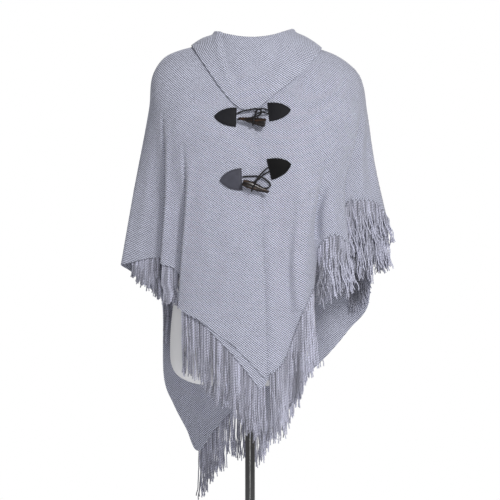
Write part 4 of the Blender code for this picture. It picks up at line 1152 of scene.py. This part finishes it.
def kept_clear(place, side):
    """The place, moved a little where a tuft would touch the cloth beside it."""
    moved = held_off(place, TUFT_CLEAR + YARN_RADIUS, side)
    push = moved - place
    return place + push * min(1, TUFT_MOST_PUSH / max(float(np.linalg.norm(push)), 1e-9))


def tuft_guides(fringe):
    """The line that each tuft follows, from its knot down to its end, and how its yarns spread."""
    turns = tuft_turns(fringe)
    drops = fringe_drop(fringe, turns)
    roots, ups, outs = sewn_edge(fringe, turns)
    asides = np.gradient(roots, axis=0) * TUFT_REACH
    asides[:, 2] *= TUFT_ASIDE_RISE
    guides = []
    for tuft, (turn, drop, root, up, out) in enumerate(zip(turns, drops, roots, ups, outs)):
        out = out * fringe.side
        share = tuft / (fringe.tufts - 1)
        length = MM * np.interp(share, np.linspace(0, 1, len(fringe.lengths)), fringe.lengths)
        uneven = 0.07 * math.sin(tuft * 2.4) + 0.04 * math.sin(tuft * 5.1 + 1)
        length *= 1 + uneven
        knot = root + up * TAPE_HEIGHT * 0.4 + out * TAPE_WALL * 0.3
        guide = [knot]
        for level in np.linspace(0.03, 1, TUFT_LEVELS):
            sway = TUFT_SWAY * level * np.array((math.sin(tuft * 0.5 + 2.4), math.cos(tuft * 0.37), 0))
            place = root + sway + hung(turn, drop, length * level)
            if fringe.sewn_to != "band":
                lift = TUFT_LIFT * min(2 * level, 1) if fringe.sewn_to != "hem" else 0
                place = kept_clear(place + out * lift, fringe.side)
            guide.append(place)
        guides.append(guide)
    return np.array(guides), asides


def apply_tree(source, name, tree, **values):
    """The plain mesh that a Geometry Nodes tree makes from an object, which it replaces."""
    grown = source.modifiers.new("grown", "NODES")
    grown.node_group = tree
    for item in tree.interface.items_tree:
        if item.in_out == "INPUT" and item.name in values:
            grown[item.identifier] = values[item.name]
    bpy.context.view_layer.update()
    seen = source.evaluated_get(bpy.context.evaluated_depsgraph_get())
    mesh = bpy.data.meshes.new_from_object(seen)
    source.modifiers.clear()
    mesh.name = name
    piece = bpy.data.objects.new(name, mesh)
    scene.collection.objects.link(piece)
    bpy.data.objects.remove(source)
    return piece


def add_guides(name, guides, asides):
    """A mesh of open lines, one for each guide, that knows which way a tuft spreads."""
    count, points = guides.shape[:2]
    mesh = bpy.data.meshes.new(name)
    edges = [(a * points + b, a * points + b + 1) for a in range(count) for b in range(points - 1)]
    mesh.from_pydata(guides.reshape(-1, 3).tolist(), edges, [])
    spread = np.repeat(asides, points, axis=0).astype(np.float32).ravel()
    mesh.attributes.new("aside", "FLOAT_VECTOR", "POINT").data.foreach_set("vector", spread)
    lines = bpy.data.objects.new(name, mesh)
    scene.collection.objects.link(lines)
    return lines


def vector_maths(tree, operation, *values):
    """The result of a maths node on vectors."""
    return add_node(tree, "ShaderNodeVectorMath", dict(enumerate(values)), operation=operation).outputs[0]


def stored(tree, geometry, domain, name, value, kind="FLOAT"):
    """The geometry with a value kept on it under a name."""
    return add_node(tree, "GeometryNodeStoreNamedAttribute", {
        "Geometry": geometry, "Name": name, "Value": value}, data_type=kind, domain=domain).outputs[0]


def kept_value(tree, name, kind="FLOAT"):
    """A value that the geometry keeps under a name."""
    return add_node(tree, "GeometryNodeInputNamedAttribute", {"Name": name}, data_type=kind).outputs[0]


def finish_tree(tree, geometry, material, output):
    """Makes what the tree grew real and smooth, gives it its material and hands it out."""
    whole = add_node(tree, "GeometryNodeRealizeInstances", {"Geometry": geometry}).outputs[0]
    soft = add_node(tree, "GeometryNodeSetShadeSmooth", {"Geometry": whole}).outputs[0]
    dyed = add_node(tree, "GeometryNodeSetMaterial", {"Geometry": soft, "Material": material}).outputs[0]
    add_node(tree, "NodeGroupOutput", {output: dyed})


tufts, given = new_tree("yarn tufts", "GeometryNodeTree", [
    ("Guides", "Geometry"), ("Yarns", "Int", 8), ("Radius", "Float", YARN_RADIUS),
    ("Depth", "Float", 1.9 * MM), ("Crimp", "Float", 9 * MM), ("Lean", "Float", 4 * MM),
    ("Shortest", "Float", 0.82), ("Seed", "Int", 1), ("Material", "Material"),
], [("Fringe", "Geometry")])

# every guide is copied once for each yarn of its tuft, and each yarn is cut to a length of its own
lines = add_node(tufts, "GeometryNodeMeshToCurve", {"Mesh": given["Guides"]}).outputs[0]
copies, number = add_node(tufts, "GeometryNodeDuplicateElements", {
    "Geometry": lines, "Amount": given["Yarns"]}, domain="SPLINE").outputs[:2]
slot = maths(tufts, "DIVIDE", maths(tufts, "MULTIPLY_ADD", number, 2.0, 1.0), given["Yarns"])
index = add_node(tufts, "GeometryNodeInputIndex").outputs[0]
stray = add_node(tufts, "FunctionNodeRandomValue", {
    "Min": (-1, -1, -1), "Max": (1, 1, 1), "ID": index, "Seed": given["Seed"],
}, data_type="FLOAT_VECTOR").outputs[0]
marked = stored(tufts, copies, "CURVE", "stray", stray, "FLOAT_VECTOR")
marked = stored(tufts, marked, "CURVE", "slot", maths(tufts, "SUBTRACT", slot, 1.0))
ends = add_node(tufts, "FunctionNodeRandomValue", {
    2: given["Shortest"], 3: 1.0, "ID": index, "Seed": given["Seed"]}, data_type="FLOAT").outputs[1]
trimmed = add_node(tufts, "GeometryNodeTrimCurve", {"Curve": marked, "End": ends}, mode="FACTOR").outputs[0]
even = add_node(tufts, "GeometryNodeResampleCurve", {
    "Curve": trimmed, "Count": YARN_POINTS}, mode="COUNT").outputs[0]

# the yarns of a tuft lie beside each other, lean and crimp, more towards their ends
along = add_node(tufts, "GeometryNodeSplineParameter").outputs
stray = kept_value(tufts, "stray", "FLOAT_VECTOR")
strays = parts_of(tufts, stray)
evenly = maths(tufts, "MULTIPLY_ADD", strays["X"], 0.35,
               maths(tufts, "MULTIPLY", kept_value(tufts, "slot"), 0.75))
apart = vector_maths(tufts, "ADD", scaled(tufts, kept_value(tufts, "aside", "FLOAT_VECTOR"), evenly),
                     scaled(tufts, (0.3, 1.0, 0.0), maths(tufts, "MULTIPLY", strays["Y"], given["Depth"])))
leant = maths(tufts, "MULTIPLY", maths(tufts, "MULTIPLY", strays["Z"], given["Lean"]),
              maths(tufts, "MULTIPLY", along["Factor"], along["Factor"]))
apart = vector_maths(tufts, "ADD", apart, scaled(tufts, (1.0, 0.15, 0.0), leant))
place = add_node(tufts, "GeometryNodeInputPosition").outputs[0]
own_place = vector_maths(tufts, "ADD", place, vector_maths(tufts, "MULTIPLY", stray, (9.0, 9.0, 9.0)))
wander = add_node(tufts, "ShaderNodeTexNoise", {
    "Vector": own_place, "Scale": 34.0, "Detail": 1.5}).outputs["Color"]
wander = vector_maths(tufts, "SUBTRACT", wander, (0.5, 0.5, 0.5))
free = maths(tufts, "SMOOTH_MIN", along["Factor"], 0.6, 0.3)
crimp = scaled(tufts, vector_maths(tufts, "MULTIPLY", wander, (1.0, 0.7, 0.25)),
               maths(tufts, "MULTIPLY", given["Crimp"], free))
hanging = add_node(tufts, "GeometryNodeSetPosition", {
    "Geometry": even, "Offset": vector_maths(tufts, "ADD", apart, crimp)}).outputs[0]
spun = maths(tufts, "MULTIPLY_ADD", strays["X"], 0.05, along["Length"])
hanging = stored(tufts, hanging, "POINT", "along", spun)
hanging = stored(tufts, hanging, "POINT", "shade", maths(tufts, "MULTIPLY_ADD", strays["Z"], 0.5, 0.5))

# a ring along each yarn, and a bead of yarn at each knot
ring = add_node(tufts, "GeometryNodeCurvePrimitiveCircle", {
    "Resolution": YARN_SIDES, "Radius": given["Radius"]}).outputs[0]
outwards = vector_maths(tufts, "NORMALIZE", add_node(tufts, "GeometryNodeInputPosition").outputs[0])
ring = stored(tufts, ring, "POINT", "round", outwards, "FLOAT_VECTOR")
yarns = add_node(tufts, "GeometryNodeCurveToMesh", {
    "Curve": hanging, "Profile Curve": ring, "Fill Caps": True}).outputs[0]
first = add_node(tufts, "GeometryNodeCurveEndpointSelection", {"Start Size": 1, "End Size": 0}).outputs[0]
bead = add_node(tufts, "GeometryNodeMeshUVSphere", {
    "Segments": 8, "Rings": 5, "Radius": 1.0}).outputs["Mesh"]
knots = add_node(tufts, "GeometryNodeInstanceOnPoints", {
    "Points": lines, "Selection": first, "Instance": bead, "Scale": KNOT}).outputs[0]
joined = add_node(tufts, "GeometryNodeJoinGeometry")
for strand in (yarns, knots):
    tufts.links.new(strand, joined.inputs[0])
finish_tree(tufts, joined.outputs[0], given["Material"], "Fringe")

# two plies, which show as light rises that wind about the yarn with painted shade in the grooves between
# them, and fuzz
yarn, tree, shader = new_material("fringe_yarn", (0.36, 0.36, 0.44), 0.9, Sheen_Weight=0.3,
                                  Sheen_Roughness=0.5)
around = add_node(tree, "ShaderNodeAttribute", attribute_name="round").outputs["Vector"]
around = parts_of(tree, around)
length = add_node(tree, "ShaderNodeAttribute", attribute_name="along").outputs["Fac"]
phase = maths(tree, "MULTIPLY", length, 2 * math.pi / PLY_PITCH)
double_cos = maths(tree, "SUBTRACT", maths(tree, "MULTIPLY", around["X"], around["X"]),
                   maths(tree, "MULTIPLY", around["Y"], around["Y"]))
double_sin = maths(tree, "MULTIPLY", maths(tree, "MULTIPLY", around["X"], 2.0), around["Y"])
ply = maths(tree, "ADD", maths(tree, "MULTIPLY", double_cos, maths(tree, "COSINE", phase)),
            maths(tree, "MULTIPLY", double_sin, maths(tree, "SINE", phase)))
ply = maths(tree, "MULTIPLY_ADD", ply, 0.5, 0.5)
fuzz = noise(tree, object_place(tree), 900.0, 3.0)
shade = add_node(tree, "ShaderNodeAttribute", attribute_name="shade").outputs["Fac"]
tone = scaled(tree, mixed(tree, ply, *YARN_SHADE_AND_COLOUR_TONES), maths(
    tree, "MULTIPLY", maths(tree, "MULTIPLY_ADD", fuzz, 0.5, 0.75),
    maths(tree, "MULTIPLY_ADD", shade, 0.95, 0.42)))
tree.links.new(tone, shader.inputs["Base Color"])
bumped(tree, shader, maths(tree, "MULTIPLY_ADD", fuzz, 0.5, ply), 0.7, 0.5 * MM)


def add_tape(fringe):
    """The narrow tape that a fringe is knotted through."""
    turns = np.linspace(fringe.first, fringe.last, 4 * fringe.tufts)
    roots, ups, outs = sewn_edge(fringe, turns)
    points = []
    for root, up, out in zip(roots, ups, outs * fringe.side):
        half = out * TAPE_WALL / 2
        for base in (root, root + up * TAPE_HEIGHT / 2, root + up * TAPE_HEIGHT):
            if fringe.sewn_to != "band":
                near = KNIT_WALL / 2 + fringe.gap * MM
                base = held_off(base - half, near, fringe.side) + half
            points.append((base + half, base - half))
    points = np.array(points).reshape(len(turns), 3, 2, 3)
    rings = points[:, (0, 0, 1, 2, 2, 1), (1, 0, 0, 0, 1, 1)]
    faces = ring_faces(len(turns), 6)
    if fringe.side < 0:
        faces = [face[::-1] for face in faces]
    down = np.array((0, 0, 0.5, 1, 1, 0.5)) * TAPE_HEIGHT
    places = np.stack((np.repeat(run_along(roots), 6), np.tile(down, len(turns))), axis=1)
    return add_piece(fringe.name + "_fringe_tape", rings.reshape(-1, 3), faces, knit, places=places)


for number, fringe in enumerate(FRINGES):
    guides = add_guides(fringe.name + "_guides", *tuft_guides(fringe))
    strands = apply_tree(guides, fringe.name + "_fringe_yarns", tufts, Yarns=fringe.yarns,
                         Crimp=fringe.crimp * MM, Lean=fringe.lean * MM, Seed=number + 1, Material=yarn)
    nodes = [fringe.node] if fringe.node else []
    settle(strands, "fringe", *nodes)
    settle(add_tape(fringe), "fringe", *nodes)


# ------------------------------------------------------------------ the toggles' tabs
# Four leaves of black leather, two to a toggle, with burnished edges. Each is sewn to its front by a
# row of stitches inside its edge, which sinks a little there.
# side is 1 where the tip is at the viewer's right. The middle of the straight edge, x and z, and the
# size are in mm and the tilt is in degrees. The last column is how far the leather's black is painted
# blue-grey: painted sheen, for light that the tab reflects.
Tab = namedtuple("Tab", "name side edge_x edge_z length height tilt rubbed")
TABS = [Tab(*row) for row in (
    # name               side edge_x edge_z length height tilt rubbed
    ("tab_upper_left",    -1,   -28,  1224,    46,    41,   2,  0.15),
    ("tab_upper_right",    1,    38,  1235,    47,    40,   6,  0.12),
    ("tab_lower_left",    -1,   -16,  1095,    46,    46,  -3,  1.00),
    ("tab_lower_right",    1,    39,  1115,    47,    44,  14,  0.00),
)]
TAB_WALL = 2.0 * MM
TAB_BELLY, TAB_POINT = 2.2, 0.72      # the powers that shape the tab's curved sides
TAB_TIP_HALF = 1.2 * MM
TAB_CROWN = 0.5 * MM
TAB_STEPS, TAB_CROWDING = 30, 1.7     # rows along a tab, which lie closer towards its tip
TAB_MIDDLE_STEPS = 9
TAB_EDGE_STEPS = np.array((0, 0.15, 0.5, 1.0, 1.6, 2.2, 2.7, 3.1, 3.5, 4.1, 5.2)) * MM
SEW_INSET = 3.1 * MM
SEW_PITCH = 3.0 * MM
SEW_SINK = 0.3 * MM
SEW_GROOVE = 0.7 * MM       # half of the width of the groove that they sink into
SEW_STITCH = (0.36 * MM, 0.36 * MM, 1.15 * MM)
LEATHER_TONE = np.array((0.0035, 0.0035, 0.004))
PAINTED_SHEEN_TONE = np.array((0.042, 0.043, 0.060))


def on_front(x, z):
    """The cloth's point and outward normal that a viewer in front sees at x and z."""
    point, normal, _, _ = cloth.ray_cast(Vector((x, -1, z)), Vector((0, 1, 0)))
    return np.array(point), np.array(normal if normal.y < 0 else -normal)


def half_width(tab, along):
    """Half of a tab's height, at this distance from its straight edge."""
    share = np.clip(along / (tab.length * MM), 0, 1)
    return max(tab.height * MM / 2 * (1 - share ** TAB_BELLY) ** TAB_POINT, TAB_TIP_HALF)


def on_tab(tab, along, off):
    """The cloth's point under a place of the tab: along it from its straight edge, and off its middle."""
    tilt = math.radians(tab.tilt)
    axis = np.array((tab.side * math.cos(tilt), math.sin(tilt)))
    cross = np.array((-axis[1], axis[0]))
    return on_front(*(np.array((tab.edge_x, tab.edge_z)) * MM + axis * along + cross * off))


def leather_material(name, rubbed):
    """Black leather, painted greyer by its share of painted sheen."""
    # the grey added to the black is painted sheen: light that the leather reflects, painted into its colour
    colour = LEATHER_TONE + rubbed * PAINTED_SHEEN_TONE
    material, tree, shader = new_material(name, colour, 0.5, Specular_IOR_Level=0.07 + 0.22 * rubbed)
    spot = object_place(tree)
    cells = add_node(tree, "ShaderNodeTexVoronoi", {"Vector": spot, "Scale": 850.0}).outputs["Distance"]
    wear = noise(tree, spot, 120.0, 4.0)
    tone = mixed(tree, wear, tuple(colour * 0.7), tuple(colour * 1.35))
    tree.links.new(tone, shader.inputs["Base Color"])
    tree.links.new(maths(tree, "MULTIPLY_ADD", wear, 0.3, 0.34), shader.inputs["Roughness"])
    bumped(tree, shader, cells, 0.6, 0.3 * MM)
    return material


def add_tab(tab):
    """The leather leaf, rounded along its edge, slightly crowned and sunk along its stitches."""
    length = tab.length * MM
    inner = 1 - (1 - np.linspace(0, 1, TAB_STEPS)[1:]) ** TAB_CROWDING
    alongs = np.append(TAB_EDGE_STEPS, TAB_EDGE_STEPS[-1] + (length - TAB_EDGE_STEPS[-1]) * inner)
    lows, highs, outs = [], [], []
    for along in alongs:
        half = half_width(tab, along)
        steps = TAB_EDGE_STEPS * min(1, half / (TAB_EDGE_STEPS[-1] * 1.15))
        middle = np.linspace(half - steps[-1], steps[-1] - half, TAB_MIDDLE_STEPS)[1:-1]
        offs = np.concatenate((half - steps, middle, (steps - half)[::-1]))
        for off in offs:
            inset = min(half - abs(off), along, length - along + 0.4 * MM)
            edge = math.sqrt(1 - (1 - min(max(inset, 0) / (TAB_WALL / 2), 1)) ** 2)
            crown = TAB_CROWN * (1 - (off / half) ** 2)
            sink = SEW_SINK * math.exp(-((inset - SEW_INSET) / SEW_GROOVE) ** 2)
            point, normal = on_tab(tab, along, off)
            lows.append((point, -edge * TAB_WALL / 2))
            highs.append((point, edge * TAB_WALL / 2 + crown - sink))
            outs.append(normal)
    out = unit(np.mean(outs, axis=0))
    lay = (KNIT_WALL + TAB_WALL) / 2 + LAY_GAP
    down = len(offs)
    points = [point + out * (lay + height) for point, height in highs + lows]
    count = len(highs)
    quads = grid_faces(len(alongs), down)
    faces = [face[::-1] for face in quads] + [tuple(count + corner for corner in face) for face in quads]
    numbers = np.arange(count).reshape(len(alongs), down)
    rim = np.concatenate((numbers[0], numbers[1:, -1], numbers[-1, -2::-1], numbers[-2:0:-1, 0])).tolist()
    faces += [(j, i, count + i, count + j) for i, j in zip(rim, rim[1:] + rim[:1])]
    name = tab.name + "_leather"
    return add_piece(name, points, faces, leather_material(name, tab.rubbed)), out


def sewing_line(tab, out):
    """Points along the tab's row of stitches, inside its straight edge and its two curved sides."""
    length = tab.length * MM
    places = []
    for along in np.linspace(SEW_INSET, length - 1.6 * SEW_INSET, 40):
        slope = (half_width(tab, along + 0.3 * MM) - half_width(tab, along - 0.3 * MM)) / (0.6 * MM)
        inset = SEW_INSET * math.hypot(1, slope)
        places.append((along, max(half_width(tab, along) - inset, 0)))
    places = [place for place in places if place[1] > 1 * MM]
    tip = (places[-1][0] + places[-1][1] * 0.8, 0)
    whole = places + [tip] + [(along, -off) for along, off in places[::-1]]
    top = KNIT_WALL / 2 + TAB_WALL + LAY_GAP + TAB_CROWN * 0.4 - SEW_SINK
    return [on_tab(tab, along, off)[0] + out * top for along, off in whole + whole[:1]]


sewing, given = new_tree("row of stitches", "GeometryNodeTree", [
    ("Guides", "Geometry"), ("Pitch", "Float", SEW_PITCH), ("Material", "Material"),
], [("Stitches", "Geometry")])
line = add_node(sewing, "GeometryNodeMeshToCurve", {"Mesh": given["Guides"]}).outputs[0]
marks = add_node(sewing, "GeometryNodeCurveToPoints", {
    "Curve": line, "Length": given["Pitch"]}, mode="LENGTH").outputs
facing = add_node(sewing, "FunctionNodeAlignRotationToVector", {
    "Vector": marks["Tangent"]}, axis="Z").outputs[0]
thread = add_node(sewing, "GeometryNodeMeshUVSphere", {
    "Segments": 8, "Rings": 6, "Radius": 1.0}).outputs["Mesh"]
rows = add_node(sewing, "GeometryNodeInstanceOnPoints", {
    "Points": marks["Points"], "Instance": thread, "Rotation": facing, "Scale": SEW_STITCH}).outputs[0]
finish_tree(sewing, rows, given["Material"], "Stitches")

thread_black, tree, shader = new_material("black_thread", (0.012, 0.012, 0.013), 0.6,
                                          Specular_IOR_Level=0.2)
bumped(tree, shader, noise(tree, object_place(tree), 2500.0), 0.6, 0.2 * MM)

for tab in TABS:
    leaf, out = add_tab(tab)
    settle(leaf, "leather", tab.name)
    path = np.array([sewing_line(tab, out)])
    guides = add_guides(tab.name + "_guides", path, np.zeros((1, 3)))
    row = apply_tree(guides, tab.name + "_stitches", sewing, Pitch=SEW_PITCH, Material=thread_black)
    settle(row, "cord")


# ------------------------------------------------------------------ the toggles' horns
# Two pieces of dark horn, cut to length, tapered and polished. The ties lie in the middle of each.
Horn = namedtuple("Horn", "name first_x first_z last_x last_z height radii")
HORNS = (
    # an axis from the first to the last place, x and z, its height above the cloth and the radii, in mm
    Horn("horn_upper", -23, 1217, 33, 1207, 16.5, (1.4, 3.4, 5.2, 6.6, 7.9, 8.9, 9.2)),
    Horn("horn_lower", -14, 1087.5, 39, 1067.5, 16, (5.8, 7.6, 8.0, 7.3, 6.0, 4.3, 2.4)),
)
HORN_FLATNESS = 0.58        # depth of a horn as a share of its width
HORN_SIDES = 32
HORN_END = 1.3 * MM         # rounding of the cut ends
HORN_END_STEPS = np.array((0, 0.1, 0.35, 0.7, 1.0)) * HORN_END
HORN_STEPS = 26
HORN_LUMPS = (0.02, 0.012)  # swellings of its side, as shares of its radius
HORN_TONES = (0.006, 0.004, 0.004), (0.075, 0.036, 0.018)
HORN_GRAIN = (40.0, 260.0, 400.0)     # streaks in a metre: long ones, along the horn
OVERLAP_REACH = 6 * MM


def over_front(x, z):
    """The cloth's place at x and z, level with the outermost cloth within a short reach to either side."""
    samples = [on_front(x + step, z) for step in (-OVERLAP_REACH, 0, OVERLAP_REACH)]
    foremost = min(point[1] for point, _ in samples)
    return np.array((x, foremost, z)), samples[1][1]


def horn_frame(horn):
    """The ends of a horn's axis, and the directions across it and out of the cloth."""
    first, out_first = over_front(horn.first_x * MM, horn.first_z * MM)
    last, out_last = over_front(horn.last_x * MM, horn.last_z * MM)
    out = unit(out_first + out_last)
    first, last = first + out * horn.height * MM, last + out * horn.height * MM
    across = unit(np.cross(unit(last - first), out))
    return first, last, across if across[2] > 0 else -across, out


horn_brown, tree, shader = new_material("dark_horn", (0.02, 0.012, 0.009), 0.25,
                                        Specular_IOR_Level=0.3)
spot = object_place(tree)
streaks = noise(tree, vector_maths(tree, "MULTIPLY", spot, HORN_GRAIN), 1.0, 5.0)
share = add_node(tree, "ShaderNodeMapRange", {
    "Value": streaks, "From Min": 0.5, "From Max": 0.8}).outputs[0]
tree.links.new(mixed(tree, share, *HORN_TONES), shader.inputs["Base Color"])
bumped(tree, shader, streaks, 0.3, 0.4 * MM)

turns = even_turns(HORN_SIDES)
for horn in HORNS:
    first, last, across, out = horn_frame(horn)
    length = float(np.linalg.norm(last - first))
    middle = np.linspace(0, length, HORN_STEPS)[1:-1]
    marks = np.concatenate((HORN_END_STEPS, middle, length - HORN_END_STEPS[::-1]))
    radii = through(np.linspace(0, length, len(horn.radii)), horn.radii, marks) * MM
    rings = []
    for mark, radius in zip(marks, radii):
        inset = min(mark, length - mark, HORN_END) / HORN_END
        rounding = min(HORN_END, radius * 0.6) * (1 - math.sqrt(1 - (1 - inset) ** 2))
        lumps = (1 + HORN_LUMPS[0] * np.sin(3 * turns + mark * 90)
                 + HORN_LUMPS[1] * np.sin(5 * turns - mark * 160))
        circle = np.outer(np.cos(turns), across) + np.outer(np.sin(turns), out) * HORN_FLATNESS
        rings.append(first + unit(last - first) * mark + circle * ((radius - rounding) * lumps)[:, None])
    faces = ring_faces(len(rings), HORN_SIDES)
    piece = add_piece(horn.name + "_polished", np.concatenate(rings), faces, horn_brown)
    settle(piece, "horn", horn.name)


# ------------------------------------------------------------------ the toggles' cords
# Waxed, twisted black cord. A loop leaves the left tab, passes behind the horn and comes back to its
# tab; a tie leaves the right tab, goes round its horn and comes back.
CORD_RADIUS = 1.7 * MM
CORD_SIDES = 14
CORD_STEP = 0.9 * MM
CORD_GROOVE = 0.10          # depth of the grooves between its three plies, as a share of its radius
CORD_TWIST = 0.33           # turn of the plies from one step to the next, in radians
CORD_TONES = (0.005, 0.005, 0.006), (0.016, 0.015, 0.016)
# Places on the cloth, x and z, and heights above the middle of its wall, in mm.
LOOPS = {
    "loop_upper": ((-26.8, 1231, 4.4), (-20, 1232.6, 8.4), (-12, 1234.5, 10.2), (3, 1237.5, 10.6),
                   (16, 1239, 10.6), (25, 1236, 10), (24, 1229, 9), (13, 1223.5, 7.4), (-3, 1221, 5.2),
                   (-15, 1219.5, 3.8), (-26.8, 1219, 3.6)),
    "loop_lower": ((-14.8, 1100, 3.6), (2, 1101, 3.8), (20, 1100.5, 4), (35, 1092, 4.4),
                   (42, 1083, 4.4), (36, 1077, 4), (20, 1077.5, 3.6), (2, 1081, 3.6),
                   (-14.8, 1086, 3.6)),
}
# Which horn a tie holds, how far along it, and its ways out from the tab and back.
Tie = namedtuple("Tie", "name horn share out back")
TIES = (
    Tie("tie_upper", 0, 0.56, ((37.2, 1239, 3.6), (28, 1238.5, 13), (19, 1232.5, 20)),
        ((20, 1229.5, 13), (29, 1231.5, 11.5), (38.0, 1231, 3.6))),
    Tie("tie_lower", 1, 0.40, ((37.0, 1119, 3.6), (28, 1110.5, 13), (18, 1100, 20)),
        ((20, 1096, 11), (29.5, 1105, 8.6), (39.2, 1110.5, 3.6))),
)
TIE_CLEAR = 1.2 * MM        # between a tie and the horn that it goes round
TIE_FIRST_ANGLE, TIE_LAST_ANGLE = 60, 325    # degrees about the horn's axis, from its upper side
TIE_POINTS = 8
TIE_SPREAD = 3.4 * MM       # how far the tie moves along the horn as it goes round


def laid(places):
    """Places over the front of the cloth, at their heights."""
    found = [(over_front(x * MM, z * MM), height) for x, z, height in places]
    return [point + normal * height * MM for (point, normal), height in found]


def tie_knots(tie):
    """A tie's path: out from the tab, round the horn and back to the tab."""
    horn = HORNS[tie.horn]
    first, last, across, out = horn_frame(horn)
    radius = MM * np.interp(tie.share, np.linspace(0, 1, len(horn.radii)), horn.radii)
    reach = radius + CORD_RADIUS + TIE_CLEAR
    depth = radius * HORN_FLATNESS + CORD_RADIUS + TIE_CLEAR
    around = []
    for share in np.linspace(0, 1, TIE_POINTS):
        angle = math.radians(TIE_FIRST_ANGLE + (TIE_LAST_ANGLE - TIE_FIRST_ANGLE) * share)
        centre = first + (last - first) * tie.share - unit(last - first) * TIE_SPREAD * (share - 0.5)
        around.append(centre + across * math.cos(angle) * reach + out * math.sin(angle) * depth)
    return laid(tie.out) + around + laid(tie.back)


cord_black, tree, shader = new_material("waxed_cord", (0.012, 0.011, 0.012), 0.42,
                                        Specular_IOR_Level=0.2)
threads = noise(tree, object_place(tree), 1600.0)
tree.links.new(mixed(tree, threads, *CORD_TONES), shader.inputs["Base Color"])
bumped(tree, shader, threads, 0.5, 0.3 * MM)


def add_cord(name, knots):
    """A round cord of three plies along a smooth path."""
    run = run_along(knots)
    path = through(run, knots, np.linspace(0, run[-1], round(run[-1] / CORD_STEP) + 1))
    ahead = unit(np.gradient(path, axis=0))
    angles = even_turns(CORD_SIDES)
    side = unit(np.cross(ahead[0], (0, 1, 0)))
    rings = []
    for step, (place, forward) in enumerate(zip(path, ahead)):
        side = unit(side - forward * np.dot(side, forward))
        circle = np.outer(np.cos(angles), side) + np.outer(np.sin(angles), np.cross(forward, side))
        waves = np.abs(np.cos(1.5 * (angles - step * CORD_TWIST)))
        plies = CORD_RADIUS * (1 - CORD_GROOVE + CORD_GROOVE * waves)
        rings.append(place + plies[:, None] * circle)
    faces = ring_faces(len(rings), CORD_SIDES)
    piece = add_piece(name + "_cord", np.concatenate(rings), faces, cord_black)
    settle(piece, "cord", name)


for name, places in LOOPS.items():
    add_cord(name, laid(places))
for tie in TIES:
    add_cord(tie.name, tie_knots(tie))
